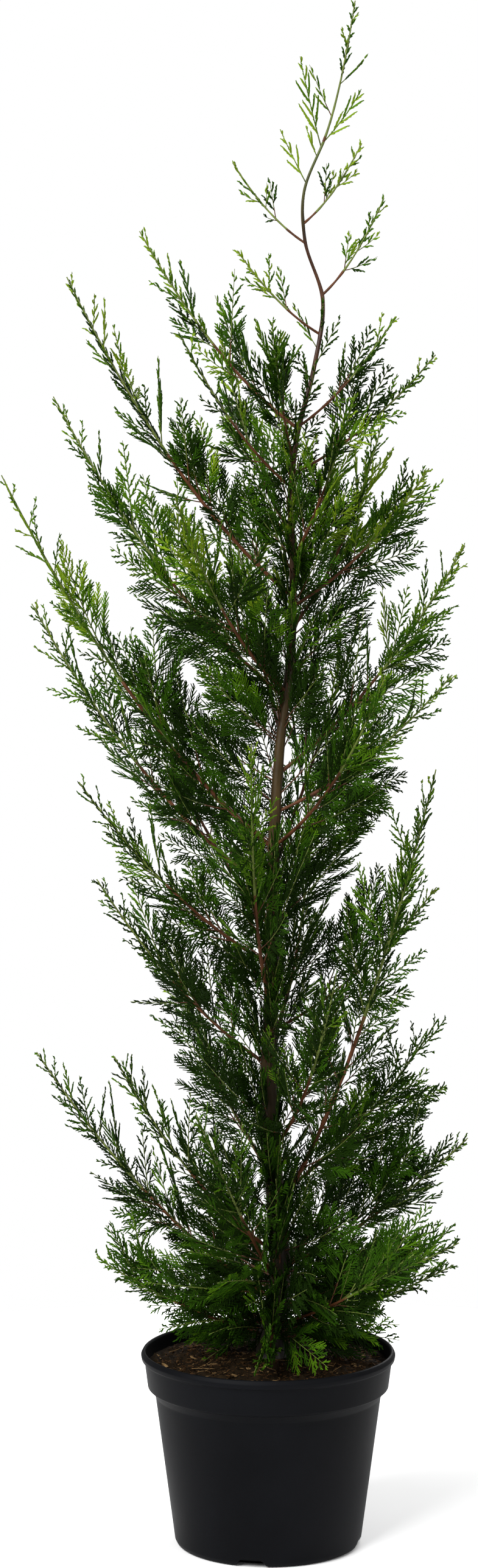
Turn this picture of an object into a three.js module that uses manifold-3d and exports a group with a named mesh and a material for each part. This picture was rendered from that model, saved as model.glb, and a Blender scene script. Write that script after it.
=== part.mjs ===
import * as THREE from 'three';
import { mergeVertices } from 'three/addons/utils/BufferGeometryUtils.js';
import Module from 'manifold-3d';

const wasm = await Module();
wasm.setup();

// A young cypress, about 1.8 m tall with its pot: a nursery pot filled with compost, a wavy trunk,
// rising boughs, and masses of flat sprays, each a slim core with needles.
// Millimetres, +Z up. The origin is the middle of the pot's flat underside, and -Y is the front.

// Pot
const POT_HEIGHT = 232;
const LIP_RADIUS = 150.3;
const LIP_HEIGHT = 12;
const LIP_REACH = 4.2;
// Section of the rolled lip from its underside to its inner edge: inset from its radius, depth below its top
const LIP_SECTION = [
  { inset: 0.8, depth: 10 },
  { inset: 0, depth: 5 },
  { inset: 2.4, depth: 0.6 },
  { inset: 4.6, depth: 0 },
  { inset: 6, depth: 2.5 },
];
const COLLAR_DROP = 43;
const COLLAR_FOOT_RADIUS = 142.2;
const STEP_HEIGHT = 11;
const STEP_CORNER_INSET = 3;
const STEP_CORNER_DROP = 5;
const BODY_TOP_RADIUS = 133.2;
const FOOT_RADIUS = 110;
const FOOT_CORNER = 6;
const FOOT_SWELL = 0.5;
const POT_WALL = 2.5;
const POT_FLOOR = 4;
const POT_SIDES = 28;

// Drain notches in the pot's foot
const NOTCH_COUNT = 4;
const NOTCH_WIDTH = 38;
const NOTCH_TOP_WIDTH = 26;
const NOTCH_HEIGHT = 9;
const NOTCH_DEPTH = 22;
const NOTCH_OVERCUT = 1;
const NOTCH_FIRST_AZIMUTH = 259;

// Compost
const SOIL_DROP = 17;
const SOIL_CROWN = 8;
const SOIL_FLAT_RADIUS = 26;
// Slope of the compost from the trunk to the wall: share of the radius and share of the crown's rise
const SOIL_SLOPE = [
  { out: 0.6, up: 0.55 },
  { out: 0.9, up: 0.1 },
];

// Clearance that touching solids keep
const CLEAR = 0.3;

// Trunk
const TRUNK_FOOT_RADIUS = 13;
const TRUNK_TIP_RADIUS = 1.6;
const TRUNK_TAPER = 1.4;
const FLARE_RADIUS = 7;
const FLARE_HEIGHT = 20;
const TRUNK_SIDES = 8;
const TRUNK_STEPS = 32;
const TRUNK_SAMPLES = 128;
// Sideways and depth sway of the trunk's middle line at each height
const TRUNK_SWAY = [
  { height: 252, x: 4, y: 0 },
  { height: 325, x: 14, y: -4 },
  { height: 430, x: 7, y: 2 },
  { height: 540, x: 1, y: 6 },
  { height: 690, x: 4, y: 3 },
  { height: 830, x: 6, y: -3 },
  { height: 948, x: 13, y: -2 },
  { height: 1058, x: 26, y: 4 },
  { height: 1160, x: 28, y: 6 },
  { height: 1237, x: 25, y: 2 },
  { height: 1310, x: 33, y: -2 },
  { height: 1381, x: 51, y: 0 },
  { height: 1460, x: 62, y: 3 },
  { height: 1527, x: 42, y: 2 },
  { height: 1585, x: 40, y: -2 },
  { height: 1642, x: 62, y: 0 },
];

// Limbs: height of the root on the trunk, compass direction in degrees from +X towards +Y,
// reach out from the trunk, and rise of the tip above the root.
// A limb with a bough has a bare inner part of its own, and the others carry foliage from the trunk on.
const LIMBS = [
  { name: 'left_1', root: 248, azimuth: 184, reach: 206, rise: 98 },
  { name: 'left_2', root: 290, azimuth: 171, reach: 288, rise: 290, bough: true },
  { name: 'left_3', root: 345, azimuth: 208, reach: 216, rise: 255 },
  { name: 'left_4', root: 570, azimuth: 176, reach: 203, rise: 219 },
  { name: 'left_5', root: 690, azimuth: 192, reach: 228, rise: 220, bough: true },
  { name: 'left_6', root: 775, azimuth: 168, reach: 289, rise: 335 },
  { name: 'left_7', root: 828, azimuth: 183, reach: 314, rise: 434, bough: true },
  { name: 'left_8', root: 1005, azimuth: 172, reach: 273, rise: 347, bough: true },
  { name: 'left_9', root: 1121, azimuth: 186, reach: 261, rise: 367, bough: true },
  { name: 'left_10', root: 1315, azimuth: 177, reach: 183, rise: 226, bough: true },
  { name: 'left_11', root: 1248, azimuth: 206, reach: 142, rise: 175 },
  { name: 'right_1', root: 250, azimuth: 7, reach: 218, rise: 77 },
  { name: 'right_2', root: 285, azimuth: -22, reach: 226, rise: 94 },
  { name: 'right_3', root: 330, azimuth: 5, reach: 222, rise: 152 },
  { name: 'right_4', root: 415, azimuth: 20, reach: 207, rise: 200 },
  { name: 'right_5', root: 395, azimuth: -12, reach: 187, rise: 529, bough: true },
  { name: 'right_6', root: 610, azimuth: 14, reach: 203, rise: 165 },
  { name: 'right_7', root: 870, azimuth: -16, reach: 210, rise: 165, bough: true },
  { name: 'right_8', root: 915, azimuth: 8, reach: 220, rise: 264, bough: true },
  { name: 'right_9', root: 1110, azimuth: -14, reach: 160, rise: 160 },
  { name: 'right_10', root: 1262, azimuth: 6, reach: 167, rise: 138 },
  { name: 'right_11', root: 1318, azimuth: -14, reach: 113, rise: 125 },
  { name: 'front_1', root: 240, azimuth: 266, reach: 108, rise: -2 },
  { name: 'front_2', root: 310, azimuth: 246, reach: 235, rise: 245 },
  { name: 'front_3', root: 262, azimuth: 316, reach: 220, rise: 118 },
  { name: 'front_4', root: 470, azimuth: 288, reach: 225, rise: 240 },
  { name: 'front_5', root: 640, azimuth: 264, reach: 225, rise: 330, bough: true },
  { name: 'front_6', root: 830, azimuth: 305, reach: 215, rise: 215 },
  { name: 'front_7', root: 1010, azimuth: 236, reach: 225, rise: 230, bough: true },
  { name: 'front_8', root: 1165, azimuth: 294, reach: 165, rise: 190 },
  { name: 'front_9', root: 1275, azimuth: 256, reach: 105, rise: 160 },
  { name: 'back_1', root: 248, azimuth: 108, reach: 220, rise: 85 },
  { name: 'back_2', root: 315, azimuth: 62, reach: 240, rise: 200 },
  { name: 'back_3', root: 440, azimuth: 122, reach: 250, rise: 250 },
  { name: 'back_4', root: 590, azimuth: 78, reach: 255, rise: 260 },
  { name: 'back_5', root: 740, azimuth: 130, reach: 255, rise: 280 },
  { name: 'back_6', root: 800, azimuth: 64, reach: 250, rise: 290, bough: true },
  { name: 'back_7', root: 960, azimuth: 106, reach: 240, rise: 290 },
  { name: 'back_8', root: 1085, azimuth: 56, reach: 195, rise: 235 },
  { name: 'back_9', root: 1195, azimuth: 118, reach: 170, rise: 220 },
  { name: 'top_1', root: 1423, azimuth: 186, reach: 96, rise: 95 },
  { name: 'top_2', root: 1468, azimuth: -8, reach: 71, rise: 110 },
  { name: 'top_3', root: 1527, azimuth: 176, reach: 84, rise: 92 },
  { name: 'top_4', root: 1549, azimuth: 8, reach: 68, rise: 92 },
  { name: 'leader', root: 1642, azimuth: -4, reach: 36, rise: 159 },
];

// How a limb bends: its control point lies this far out and up, and sways sideways by a share of its reach
const BEND_OUT = 0.52;
const BEND_UP = 0.3;
const BEND_SIDE = 0.08;
const LIMB_ROOT_RADIUS = 1.0;
const LIMB_THICKENING = 0.0038;
const LIMB_TIP_RADIUS = 0.7;
const LIMB_TAPER = 0.8;
const BOUGH_SHARE = 0.42;
const BOUGH_SIDES = 5;
const BOUGH_STEPS = 4;
const STEM_SIDES = 3;
const STEM_STEP = 80;
const FEWEST_STEM_STEPS = 2;

// Sprays follow each other along a mass's stem and turn round it step by step
const SPRAY_SPACING = 46;
const FIRST_SPRAY = 38;
const FIRST_SPRAY_PAST_BOUGH = 12;
const FEWEST_SPRAYS = 3;
const LAST_SPRAY_SHARE = 0.86;
const SPRAY_TURN = 137.5;
const LIMB_TURN = 70;
const SPRAY_ANGLE = 40;
const SPRAY_ANGLE_SPREAD = 10;
const SPRAY_LONGEST = 165;
const SPRAY_SHORTEST = 34;
const SPRAY_SHARE = 0.5;
const SPRAY_FADE = 0.7;
const SPRAY_ROLL = 40;
const LENGTH_TRIES = [1, 0.84, 0.7, 0.58, 0.46];

// A spray is a slim core with flat needles on its two sides, all in one plane
const CORE_RADIUS = 0.9;
const CORE_THICKENING = 0.009;
const CORE_THICKEST = 0.2;
const NEEDLE_PLACES = [0.26, 0.46, 0.66];
const NEEDLE_ANGLE = 36;
const NEEDLE_SHARE = 0.62;
const NEEDLE_FADE = 0.5;
const NEEDLE_WIDTH = 0.12;
const NEEDLE_DEPTH = 0.05;
const NEEDLE_THICKEST = 0.42;
const TIP_LENGTH = 44;

// Space that a mass keeps: nearer to its own limb than to any other, within its limb's reach,
// and clear of trunk, soil and rim
const SPACE_MARGIN = 5;
const REACH_SHARE = 1.01;
const LEAST_REACH = 60;
const TRUNK_MARGIN = 6;
const RIM_MARGIN = 4;
const AXIS_SAMPLES = 24;

// Repeatable chance: weights of seed and channel, and one channel for each use
const CHANCE_SEED_WEIGHT = 12.9898;
const CHANCE_CHANNEL_WEIGHT = 78.233;
const CHANCE_SCALE = 43758.5453;
const SWAY_CHANNEL = 1;
const ANGLE_CHANNEL = 2;
const ROLL_CHANNEL = 3;
const SEEDS_PER_LIMB = 100;

const UP = new THREE.Vector3(0, 0, 1);
const radians = THREE.MathUtils.degToRad;

// A repeatable number from 0 to 1 for a seed and a channel
function chance(seed, channel) {
  const wave = Math.sin(seed * CHANCE_SEED_WEIGHT + channel * CHANCE_CHANNEL_WEIGHT) * CHANCE_SCALE;
  return wave - Math.floor(wave);
}

// A repeatable number from -1 to 1
function swing(seed, channel) {
  return 2 * chance(seed, channel) - 1;
}

// Geometry with positions only and shared corners merged
function merged(geometry) {
  geometry.deleteAttribute('normal');
  geometry.deleteAttribute('uv');
  return mergeVertices(geometry);
}

function toSolid(geometry) {
  const vertProperties = new Float32Array(geometry.attributes.position.array);
  const triVerts = new Uint32Array(geometry.index.array);
  return new wasm.Manifold(new wasm.Mesh({ numProp: 3, vertProperties, triVerts }));
}

function toGeometry(solid) {
  const mesh = solid.getMesh();
  const geometry = new THREE.BufferGeometry();
  geometry.setAttribute('position', new THREE.BufferAttribute(mesh.vertProperties, 3));
  geometry.setIndex(new THREE.BufferAttribute(mesh.triVerts, 1));
  geometry.computeVertexNormals();
  return geometry;
}

// The part of a curve between two shares of its length
class Stretch extends THREE.Curve {
  constructor(whole, from, to) {
    super();
    this.whole = whole;
    this.from = from;
    this.to = to;
  }

  getPoint(t, target = new THREE.Vector3()) {
    return target.copy(this.whole.getPointAt(this.from + (this.to - this.from) * t));
  }
}

// A closed tube along a curve: a cylinder whose rows are carried to the curve's points and frames
function taperedTube(curve, radiusAt, sides, steps) {
  const tube = merged(new THREE.CylinderGeometry(1, 1, 1, sides, steps));
  const frames = curve.computeFrenetFrames(steps, false);
  const place = tube.attributes.position;
  for (let i = 0; i < place.count; i += 1) {
    const along = place.getY(i) + 0.5;
    const row = Math.round(along * steps);
    const radius = radiusAt(along);
    const point = curve.getPointAt(along);
    point.addScaledVector(frames.normals[row], place.getX(i) * radius);
    point.addScaledVector(frames.binormals[row], -place.getZ(i) * radius);
    place.setXYZ(i, point.x, point.y, point.z);
  }
  return tube;
}

// Pot: outer wall with rolled lip, collar and step, and the inner wall that the compost follows
const stepTop = POT_HEIGHT - COLLAR_DROP;
const stepFoot = stepTop - STEP_HEIGHT;
const lipFoot = POT_HEIGHT - LIP_HEIGHT;
const collarTopRadius = LIP_RADIUS - LIP_REACH;

function innerWall(clear) {
  return [
    [collarTopRadius - POT_WALL - clear, lipFoot],
    [COLLAR_FOOT_RADIUS - POT_WALL - clear, stepTop],
    [BODY_TOP_RADIUS - POT_WALL - clear, stepFoot + POT_WALL],
    [FOOT_RADIUS - POT_WALL - clear, POT_FLOOR + FOOT_CORNER],
    [FOOT_RADIUS - FOOT_CORNER - clear, POT_FLOOR + clear],
    [0, POT_FLOOR + clear],
  ];
}

function lathe(points) {
  const profile = points.map(([radius, height]) => new THREE.Vector2(radius, height));
  const turned = new THREE.LatheGeometry(profile, POT_SIDES);
  turned.rotateX(Math.PI / 2);
  return merged(turned);
}

function potWall() {
  const corner = FOOT_CORNER * (1 - Math.SQRT1_2);
  return lathe([
    [0, 0],
    [FOOT_RADIUS - FOOT_CORNER, 0],
    [FOOT_RADIUS - corner, corner],
    [FOOT_RADIUS + FOOT_SWELL, FOOT_CORNER],
    [BODY_TOP_RADIUS, stepFoot],
    [COLLAR_FOOT_RADIUS - STEP_CORNER_INSET, stepTop - STEP_CORNER_DROP],
    [COLLAR_FOOT_RADIUS, stepTop],
    [collarTopRadius, lipFoot],
    ...LIP_SECTION.map(({ inset, depth }) => [LIP_RADIUS - inset, POT_HEIGHT - depth]),
    ...innerWall(0),
  ]);
}

function drainNotch(azimuth) {
  const outline = new THREE.Shape();
  outline.moveTo(-NOTCH_WIDTH / 2, -NOTCH_OVERCUT);
  outline.lineTo(NOTCH_WIDTH / 2, -NOTCH_OVERCUT);
  outline.lineTo(NOTCH_TOP_WIDTH / 2, NOTCH_HEIGHT);
  outline.lineTo(-NOTCH_TOP_WIDTH / 2, NOTCH_HEIGHT);
  outline.closePath();
  const cutter = new THREE.ExtrudeGeometry(outline, { depth: NOTCH_DEPTH, bevelEnabled: false });
  cutter.rotateX(Math.PI / 2);
  cutter.translate(0, FOOT_RADIUS + FOOT_CORNER, 0);
  cutter.rotateZ(radians(azimuth - 90));
  return toSolid(merged(cutter));
}

function pot() {
  let body = toSolid(potWall());
  for (let i = 0; i < NOTCH_COUNT; i += 1) {
    body = body.subtract(drainNotch(NOTCH_FIRST_AZIMUTH + (i * 360) / NOTCH_COUNT));
  }
  return toGeometry(body);
}

// Compost: fills the pot to below its lip and rises a little towards the trunk
const soilEdge = POT_HEIGHT - SOIL_DROP;
const soilTop = soilEdge + SOIL_CROWN;

function compost() {
  const wall = innerWall(CLEAR);
  const [top, foot] = wall;
  const rise = (soilEdge - foot[1]) / (top[1] - foot[1]);
  const edgeRadius = foot[0] + (top[0] - foot[0]) * rise;
  const surface = [
    [0, soilTop],
    [SOIL_FLAT_RADIUS, soilTop],
    ...SOIL_SLOPE.map(({ out, up }) => [edgeRadius * out, soilEdge + SOIL_CROWN * up]),
    [edgeRadius, soilEdge],
  ];
  return lathe([...surface, ...wall.slice(1)].reverse());
}

// Trunk: one whole tapering stem from the compost to the foot of the leading shoot
const trunkFoot = soilTop + CLEAR;
const trunkTip = TRUNK_SWAY[TRUNK_SWAY.length - 1].height;
const trunkLine = new THREE.CatmullRomCurve3(
  [
    new THREE.Vector3(TRUNK_SWAY[0].x, TRUNK_SWAY[0].y, trunkFoot),
    ...TRUNK_SWAY.map(({ height, x, y }) => new THREE.Vector3(x, y, height)),
  ],
  false,
  'catmullrom',
);

function trunkRadius(height) {
  const left = Math.max(0, (trunkTip - height) / (trunkTip - trunkFoot));
  const flare = FLARE_RADIUS * Math.exp((trunkFoot - height) / FLARE_HEIGHT);
  return TRUNK_TIP_RADIUS + (TRUNK_FOOT_RADIUS - TRUNK_TIP_RADIUS) * left ** TRUNK_TAPER + flare;
}

function trunk(clear) {
  const radiusAt = (along) => trunkRadius(trunkLine.getPointAt(along).z) + clear;
  return taperedTube(trunkLine, radiusAt, TRUNK_SIDES, TRUNK_STEPS);
}

const trunkPoints = trunkLine.getSpacedPoints(TRUNK_SAMPLES);

// Middle of the trunk at a height
function trunkAt(height) {
  const next = Math.max(1, trunkPoints.findIndex((point) => point.z >= height));
  const low = trunkPoints[next - 1];
  const high = trunkPoints[next];
  const share = (height - low.z) / (high.z - low.z);
  return low.clone().lerp(high, share);
}

// Limbs: each rises from the trunk along a curve that leaves it wide and turns up
function limbLine(limb, seed) {
  const root = limb.root >= trunkTip ? trunkPoints[trunkPoints.length - 1].clone() : trunkAt(limb.root);
  const heading = radians(limb.azimuth);
  const out = new THREE.Vector3(Math.cos(heading), Math.sin(heading), 0);
  const side = new THREE.Vector3(-out.y, out.x, 0);
  const sway = swing(seed, SWAY_CHANNEL) * BEND_SIDE * limb.reach;
  const bend = root.clone().addScaledVector(out, BEND_OUT * limb.reach);
  bend.addScaledVector(UP, BEND_UP * limb.rise).addScaledVector(side, sway);
  const tip = root.clone().addScaledVector(out, limb.reach).addScaledVector(UP, limb.rise);
  return new THREE.QuadraticBezierCurve3(root, bend, tip);
}

const limbs = LIMBS.map((limb, index) => {
  const line = limbLine(limb, index + 1);
  const length = line.getLength();
  const rootRadius = LIMB_ROOT_RADIUS + LIMB_THICKENING * length;
  const radiusAt = (along) =>
    LIMB_TIP_RADIUS + (rootRadius - LIMB_TIP_RADIUS) * (1 - along) ** LIMB_TAPER;
  const samples = line.getSpacedPoints(AXIS_SAMPLES);
  const from = limb.bough ? BOUGH_SHARE + CLEAR / length : 0;
  const steps = Math.max(FEWEST_STEM_STEPS, Math.round((length * (1 - from)) / STEM_STEP));
  return { ...limb, seed: index + 1, line, length, radiusAt, samples, from, steps };
});

// Point in the middle of a mass's stem, which is straight between its rows
function onStem({ line, from, steps }, along) {
  const row = Math.min(steps - 1, Math.floor(((along - from) / (1 - from)) * steps));
  const pitch = (1 - from) / steps;
  const low = line.getPointAt(from + row * pitch);
  const high = line.getPointAt(Math.min(1, from + (row + 1) * pitch));
  return low.lerp(high, (along - from) / pitch - row);
}

const trunkClear = toSolid(trunk(CLEAR));

function limbTube(limb, from, to, sides, steps) {
  const line = new Stretch(limb.line, from, to);
  return toSolid(taperedTube(line, (along) => limb.radiusAt(from + (to - from) * along), sides, steps));
}

function bough(limb) {
  const tube = limbTube(limb, 0, BOUGH_SHARE, BOUGH_SIDES, BOUGH_STEPS);
  return toGeometry(tube.subtract(trunkClear));
}

// Distance from a point to a line of samples
const nearest = new THREE.Vector3();
const piece = new THREE.Line3();
function distanceTo(samples, point) {
  let least = Infinity;
  for (let i = 1; i < samples.length; i += 1) {
    piece.set(samples[i - 1], samples[i]).closestPointToPoint(point, true, nearest);
    least = Math.min(least, nearest.distanceTo(point));
  }
  return least;
}

// Whether a point lies in the space of a limb's own mass
const crownTop = Math.max(...limbs.map(({ root, rise }) => root + rise));
function ownSpace(limb, point) {
  const [foot] = limb.samples;
  const reach = Math.max(limb.reach * REACH_SHARE, LEAST_REACH);
  if (Math.hypot(point.x - foot.x, point.y - foot.y) > reach) return false;
  if (point.z > crownTop) return false;
  const spread = Math.hypot(point.x, point.y);
  const floor = spread > COLLAR_FOOT_RADIUS - POT_WALL - RIM_MARGIN ? POT_HEIGHT : soilTop;
  if (point.z < floor + RIM_MARGIN) return false;
  if (distanceTo(trunkPoints, point) < trunkRadius(point.z) + TRUNK_MARGIN) return false;
  const own = distanceTo(limb.samples, point);
  return limbs.every((other) => other === limb || distanceTo(other.samples, point) > own + SPACE_MARGIN);
}

// A three-sided spindle lying along +X from the origin
function spindle(length, width, depth, thickest) {
  const shape = merged(new THREE.SphereGeometry(1, 3, 2));
  const place = shape.attributes.position;
  for (let i = 0; i < place.count; i += 1) {
    const pole = Math.round(place.getY(i));
    const along = pole ? (1 + pole) / 2 : thickest;
    const up = pole ? 0 : -place.getX(i) * depth * (2 / 3);
    const out = pole ? 0 : (place.getZ(i) * width) / Math.sqrt(3);
    place.setXYZ(i, along * length, up, out);
  }
  return shape;
}

function core(length) {
  const width = 2 * (CORE_RADIUS + CORE_THICKENING * length);
  return spindle(length, width, width, CORE_THICKEST);
}

function needle(length) {
  return spindle(length, NEEDLE_WIDTH * length, NEEDLE_DEPTH * length, NEEDLE_THICKEST);
}

// The part of a vector that stands square to a direction
function squareTo(direction, vector) {
  return vector.clone().addScaledVector(direction, -vector.dot(direction)).normalize();
}

// Direction that leans away from an axis towards one side
function leaning(axis, towards, degrees) {
  const lean = radians(degrees);
  return axis.clone().multiplyScalar(Math.cos(lean)).addScaledVector(towards, Math.sin(lean)).normalize();
}

// Places a shape that lies along +X at a point, along a direction, with its width across
function aim(geometry, start, direction, across) {
  const flat = squareTo(direction, across);
  const normal = new THREE.Vector3().crossVectors(flat, direction);
  const placed = new THREE.Matrix4().makeBasis(direction, normal, flat).setPosition(start);
  return geometry.applyMatrix4(placed);
}

function fits(limb, geometry) {
  const place = geometry.attributes.position;
  const point = new THREE.Vector3();
  for (let i = 0; i < place.count; i += 1) {
    if (!ownSpace(limb, point.fromBufferAttribute(place, i))) return false;
  }
  return true;
}

// Places of the sprays along a mass's stem, turned round it step by step
function spraySites(limb) {
  const { from } = limb;
  const first = from + (limb.bough ? FIRST_SPRAY_PAST_BOUGH : FIRST_SPRAY) / limb.length;
  const last = from + (1 - from) * LAST_SPRAY_SHARE;
  const count = Math.max(FEWEST_SPRAYS, Math.round(((last - first) * limb.length) / SPRAY_SPACING) + 1);
  const longest = Math.min(SPRAY_LONGEST, SPRAY_SHARE * limb.length);
  return Array.from({ length: count }, (_, order) => {
    const along = first + ((last - first) * order) / (count - 1);
    const seed = limb.seed * SEEDS_PER_LIMB + order;
    const tangent = limb.line.getTangentAt(along);
    const side = new THREE.Vector3().crossVectors(tangent, UP).normalize();
    const outward = side.applyAxisAngle(tangent, radians(SPRAY_TURN * order + LIMB_TURN * limb.seed));
    const angle = SPRAY_ANGLE + swing(seed, ANGLE_CHANNEL) * SPRAY_ANGLE_SPREAD;
    const direction = leaning(tangent, outward, angle);
    const roll = radians(swing(seed, ROLL_CHANNEL) * SPRAY_ROLL);
    const across = squareTo(direction, tangent).applyAxisAngle(direction, roll);
    const fade = ((1 - along) / (1 - from)) ** SPRAY_FADE;
    const length = Math.max(SPRAY_SHORTEST, longest * fade);
    return { order, start: onStem(limb, along), direction, across, length };
  });
}

// The needles of a spray, left and right by turns; one that leaves the mass's own space is left off
function needles(limb, { order, start, direction, across }, length) {
  const placed = NEEDLE_PLACES.map((share, index) => {
    const sideways = across.clone().multiplyScalar((order + index) % 2 ? -1 : 1);
    const heading = leaning(direction, sideways, NEEDLE_ANGLE);
    const root = start.clone().addScaledVector(direction, share * length);
    return aim(needle(length * NEEDLE_SHARE * (1 - NEEDLE_FADE * share)), root, heading, across);
  });
  return placed.filter((shape) => fits(limb, shape));
}

// The longest spray that keeps to the mass's own space, or nothing
function spray(limb, site) {
  for (const share of LENGTH_TRIES) {
    const length = site.length * share;
    const middle = aim(core(length), site.start, site.direction, site.across);
    const tip = site.start.clone().addScaledVector(site.direction, length);
    if (ownSpace(limb, tip)) return [middle, ...needles(limb, site, length)];
  }
  return [];
}

// The needle round the stem's last stretch, from a point on the stem to its tip
function tipNeedle(limb) {
  const start = onStem(limb, 1 - TIP_LENGTH / limb.length);
  const run = limb.line.getPointAt(1).sub(start);
  const length = run.length();
  const direction = run.normalize();
  const across = new THREE.Vector3(-direction.z, 0, direction.x);
  return aim(needle(length), start, direction, across);
}

// Mass of foliage: one stem, its sprays and the needle at its tip.
// A stem on the trunk's tip starts just clear of it, and one on its side is cut back clear of the trunk.
function foliage(limb) {
  const onTrunkTip = limb.root >= trunkTip;
  const start = onTrunkTip ? (2 * CLEAR) / limb.length : limb.from;
  const stem = limbTube(limb, start, 1, STEM_SIDES, limb.steps);
  const shapes = [tipNeedle(limb), ...spraySites(limb).flatMap((site) => spray(limb, site))];
  const mass = shapes.reduce((whole, shape) => whole.add(toSolid(shape)), stem);
  return toGeometry(limb.bough ? mass : mass.subtract(trunkClear));
}

// Finishes
const finishes = {
  pot: { color: 0x1f2124, roughness: 0.45, metalness: 0 },
  compost: { color: 0x3a2a1c, roughness: 0.95, metalness: 0 },
  trunk: { color: 0x6b5640, roughness: 0.6, metalness: 0 },
  bough: { color: 0x6f3f2c, roughness: 0.65, metalness: 0 },
  foliage: { color: 0x355f33, roughness: 0.7, metalness: 0 },
};

function node(name, geometry, finish) {
  const mesh = new THREE.Mesh(geometry, new THREE.MeshStandardMaterial(finishes[finish]));
  mesh.name = name;
  return mesh;
}

const container = new THREE.Group();
container.add(node('pot', pot(), 'pot'), node('compost', compost(), 'compost'));

const limbwork = new THREE.Group();
limbwork.add(node('trunk', trunk(0), 'trunk'));

const crown = new THREE.Group();
for (const limb of limbs) {
  if (limb.bough) limbwork.add(node(`bough_${limb.name}`, bough(limb), 'bough'));
  crown.add(node(`foliage_${limb.name}`, foliage(limb), 'foliage'));
}

const cypress = new THREE.Group();
cypress.name = 'potted_cypress';
cypress.add(container, limbwork, crown);

export default cypress;
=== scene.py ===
"""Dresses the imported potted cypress: pot, compost, bark, twigs and feathery sprays on a plain stage."""

import math
from typing import NamedTuple

import bpy
import numpy as np
from bpy.props import FloatProperty, FloatVectorProperty, IntProperty, PointerProperty
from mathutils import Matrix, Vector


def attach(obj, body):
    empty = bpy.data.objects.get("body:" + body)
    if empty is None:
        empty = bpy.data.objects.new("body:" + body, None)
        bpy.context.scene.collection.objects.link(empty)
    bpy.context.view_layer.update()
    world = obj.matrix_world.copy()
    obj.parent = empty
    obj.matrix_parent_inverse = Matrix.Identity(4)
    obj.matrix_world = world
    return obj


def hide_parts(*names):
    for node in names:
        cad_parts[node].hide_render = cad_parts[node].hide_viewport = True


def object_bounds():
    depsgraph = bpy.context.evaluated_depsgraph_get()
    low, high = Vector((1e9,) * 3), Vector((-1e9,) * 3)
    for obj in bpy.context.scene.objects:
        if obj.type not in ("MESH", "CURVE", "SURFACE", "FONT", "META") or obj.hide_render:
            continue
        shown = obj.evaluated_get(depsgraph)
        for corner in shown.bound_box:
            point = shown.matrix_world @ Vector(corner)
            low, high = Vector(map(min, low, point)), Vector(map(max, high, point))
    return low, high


bl_info = {
    "name": "Potted Cypress",
    "version": (1, 0, 0),
    "blender": (4, 5, 0),
    "location": "View3D > Sidebar > Cypress",
    "description": "Dresses a packed cypress with a moulded pot, compost, bark, twigs and sprays",
    "category": "Object",
}

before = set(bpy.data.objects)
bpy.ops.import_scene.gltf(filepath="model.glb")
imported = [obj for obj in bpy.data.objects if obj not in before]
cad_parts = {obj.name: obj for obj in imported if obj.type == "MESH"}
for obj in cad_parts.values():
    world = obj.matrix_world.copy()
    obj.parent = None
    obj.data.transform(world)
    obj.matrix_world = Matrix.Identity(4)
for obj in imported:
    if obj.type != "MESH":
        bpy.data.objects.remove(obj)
CAD_BOX = [list(corner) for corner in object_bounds()]
CAD_TOP = CAD_BOX[1][2]
BODY = "root"
MM = 0.001
UP = np.array((0.0, 0.0, 1.0))

# Turn in degrees from one twig to the next round a limb or the trunk
GOLDEN_TURN = 137.5

# Middle line of the trunk: height, sideways sway and depth sway, in millimetres
TRUNK_SWAY = (
    (223.3, 4, 0),
    (252, 4, 0),
    (325, 14, -4),
    (430, 7, 2),
    (540, 1, 6),
    (690, 4, 3),
    (830, 6, -3),
    (948, 13, -2),
    (1058, 26, 4),
    (1160, 28, 6),
    (1237, 25, 2),
    (1310, 33, -2),
    (1381, 51, 0),
    (1460, 62, 3),
    (1527, 42, 2),
    (1585, 40, -2),
    (1642, 62, 0),
)

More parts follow.
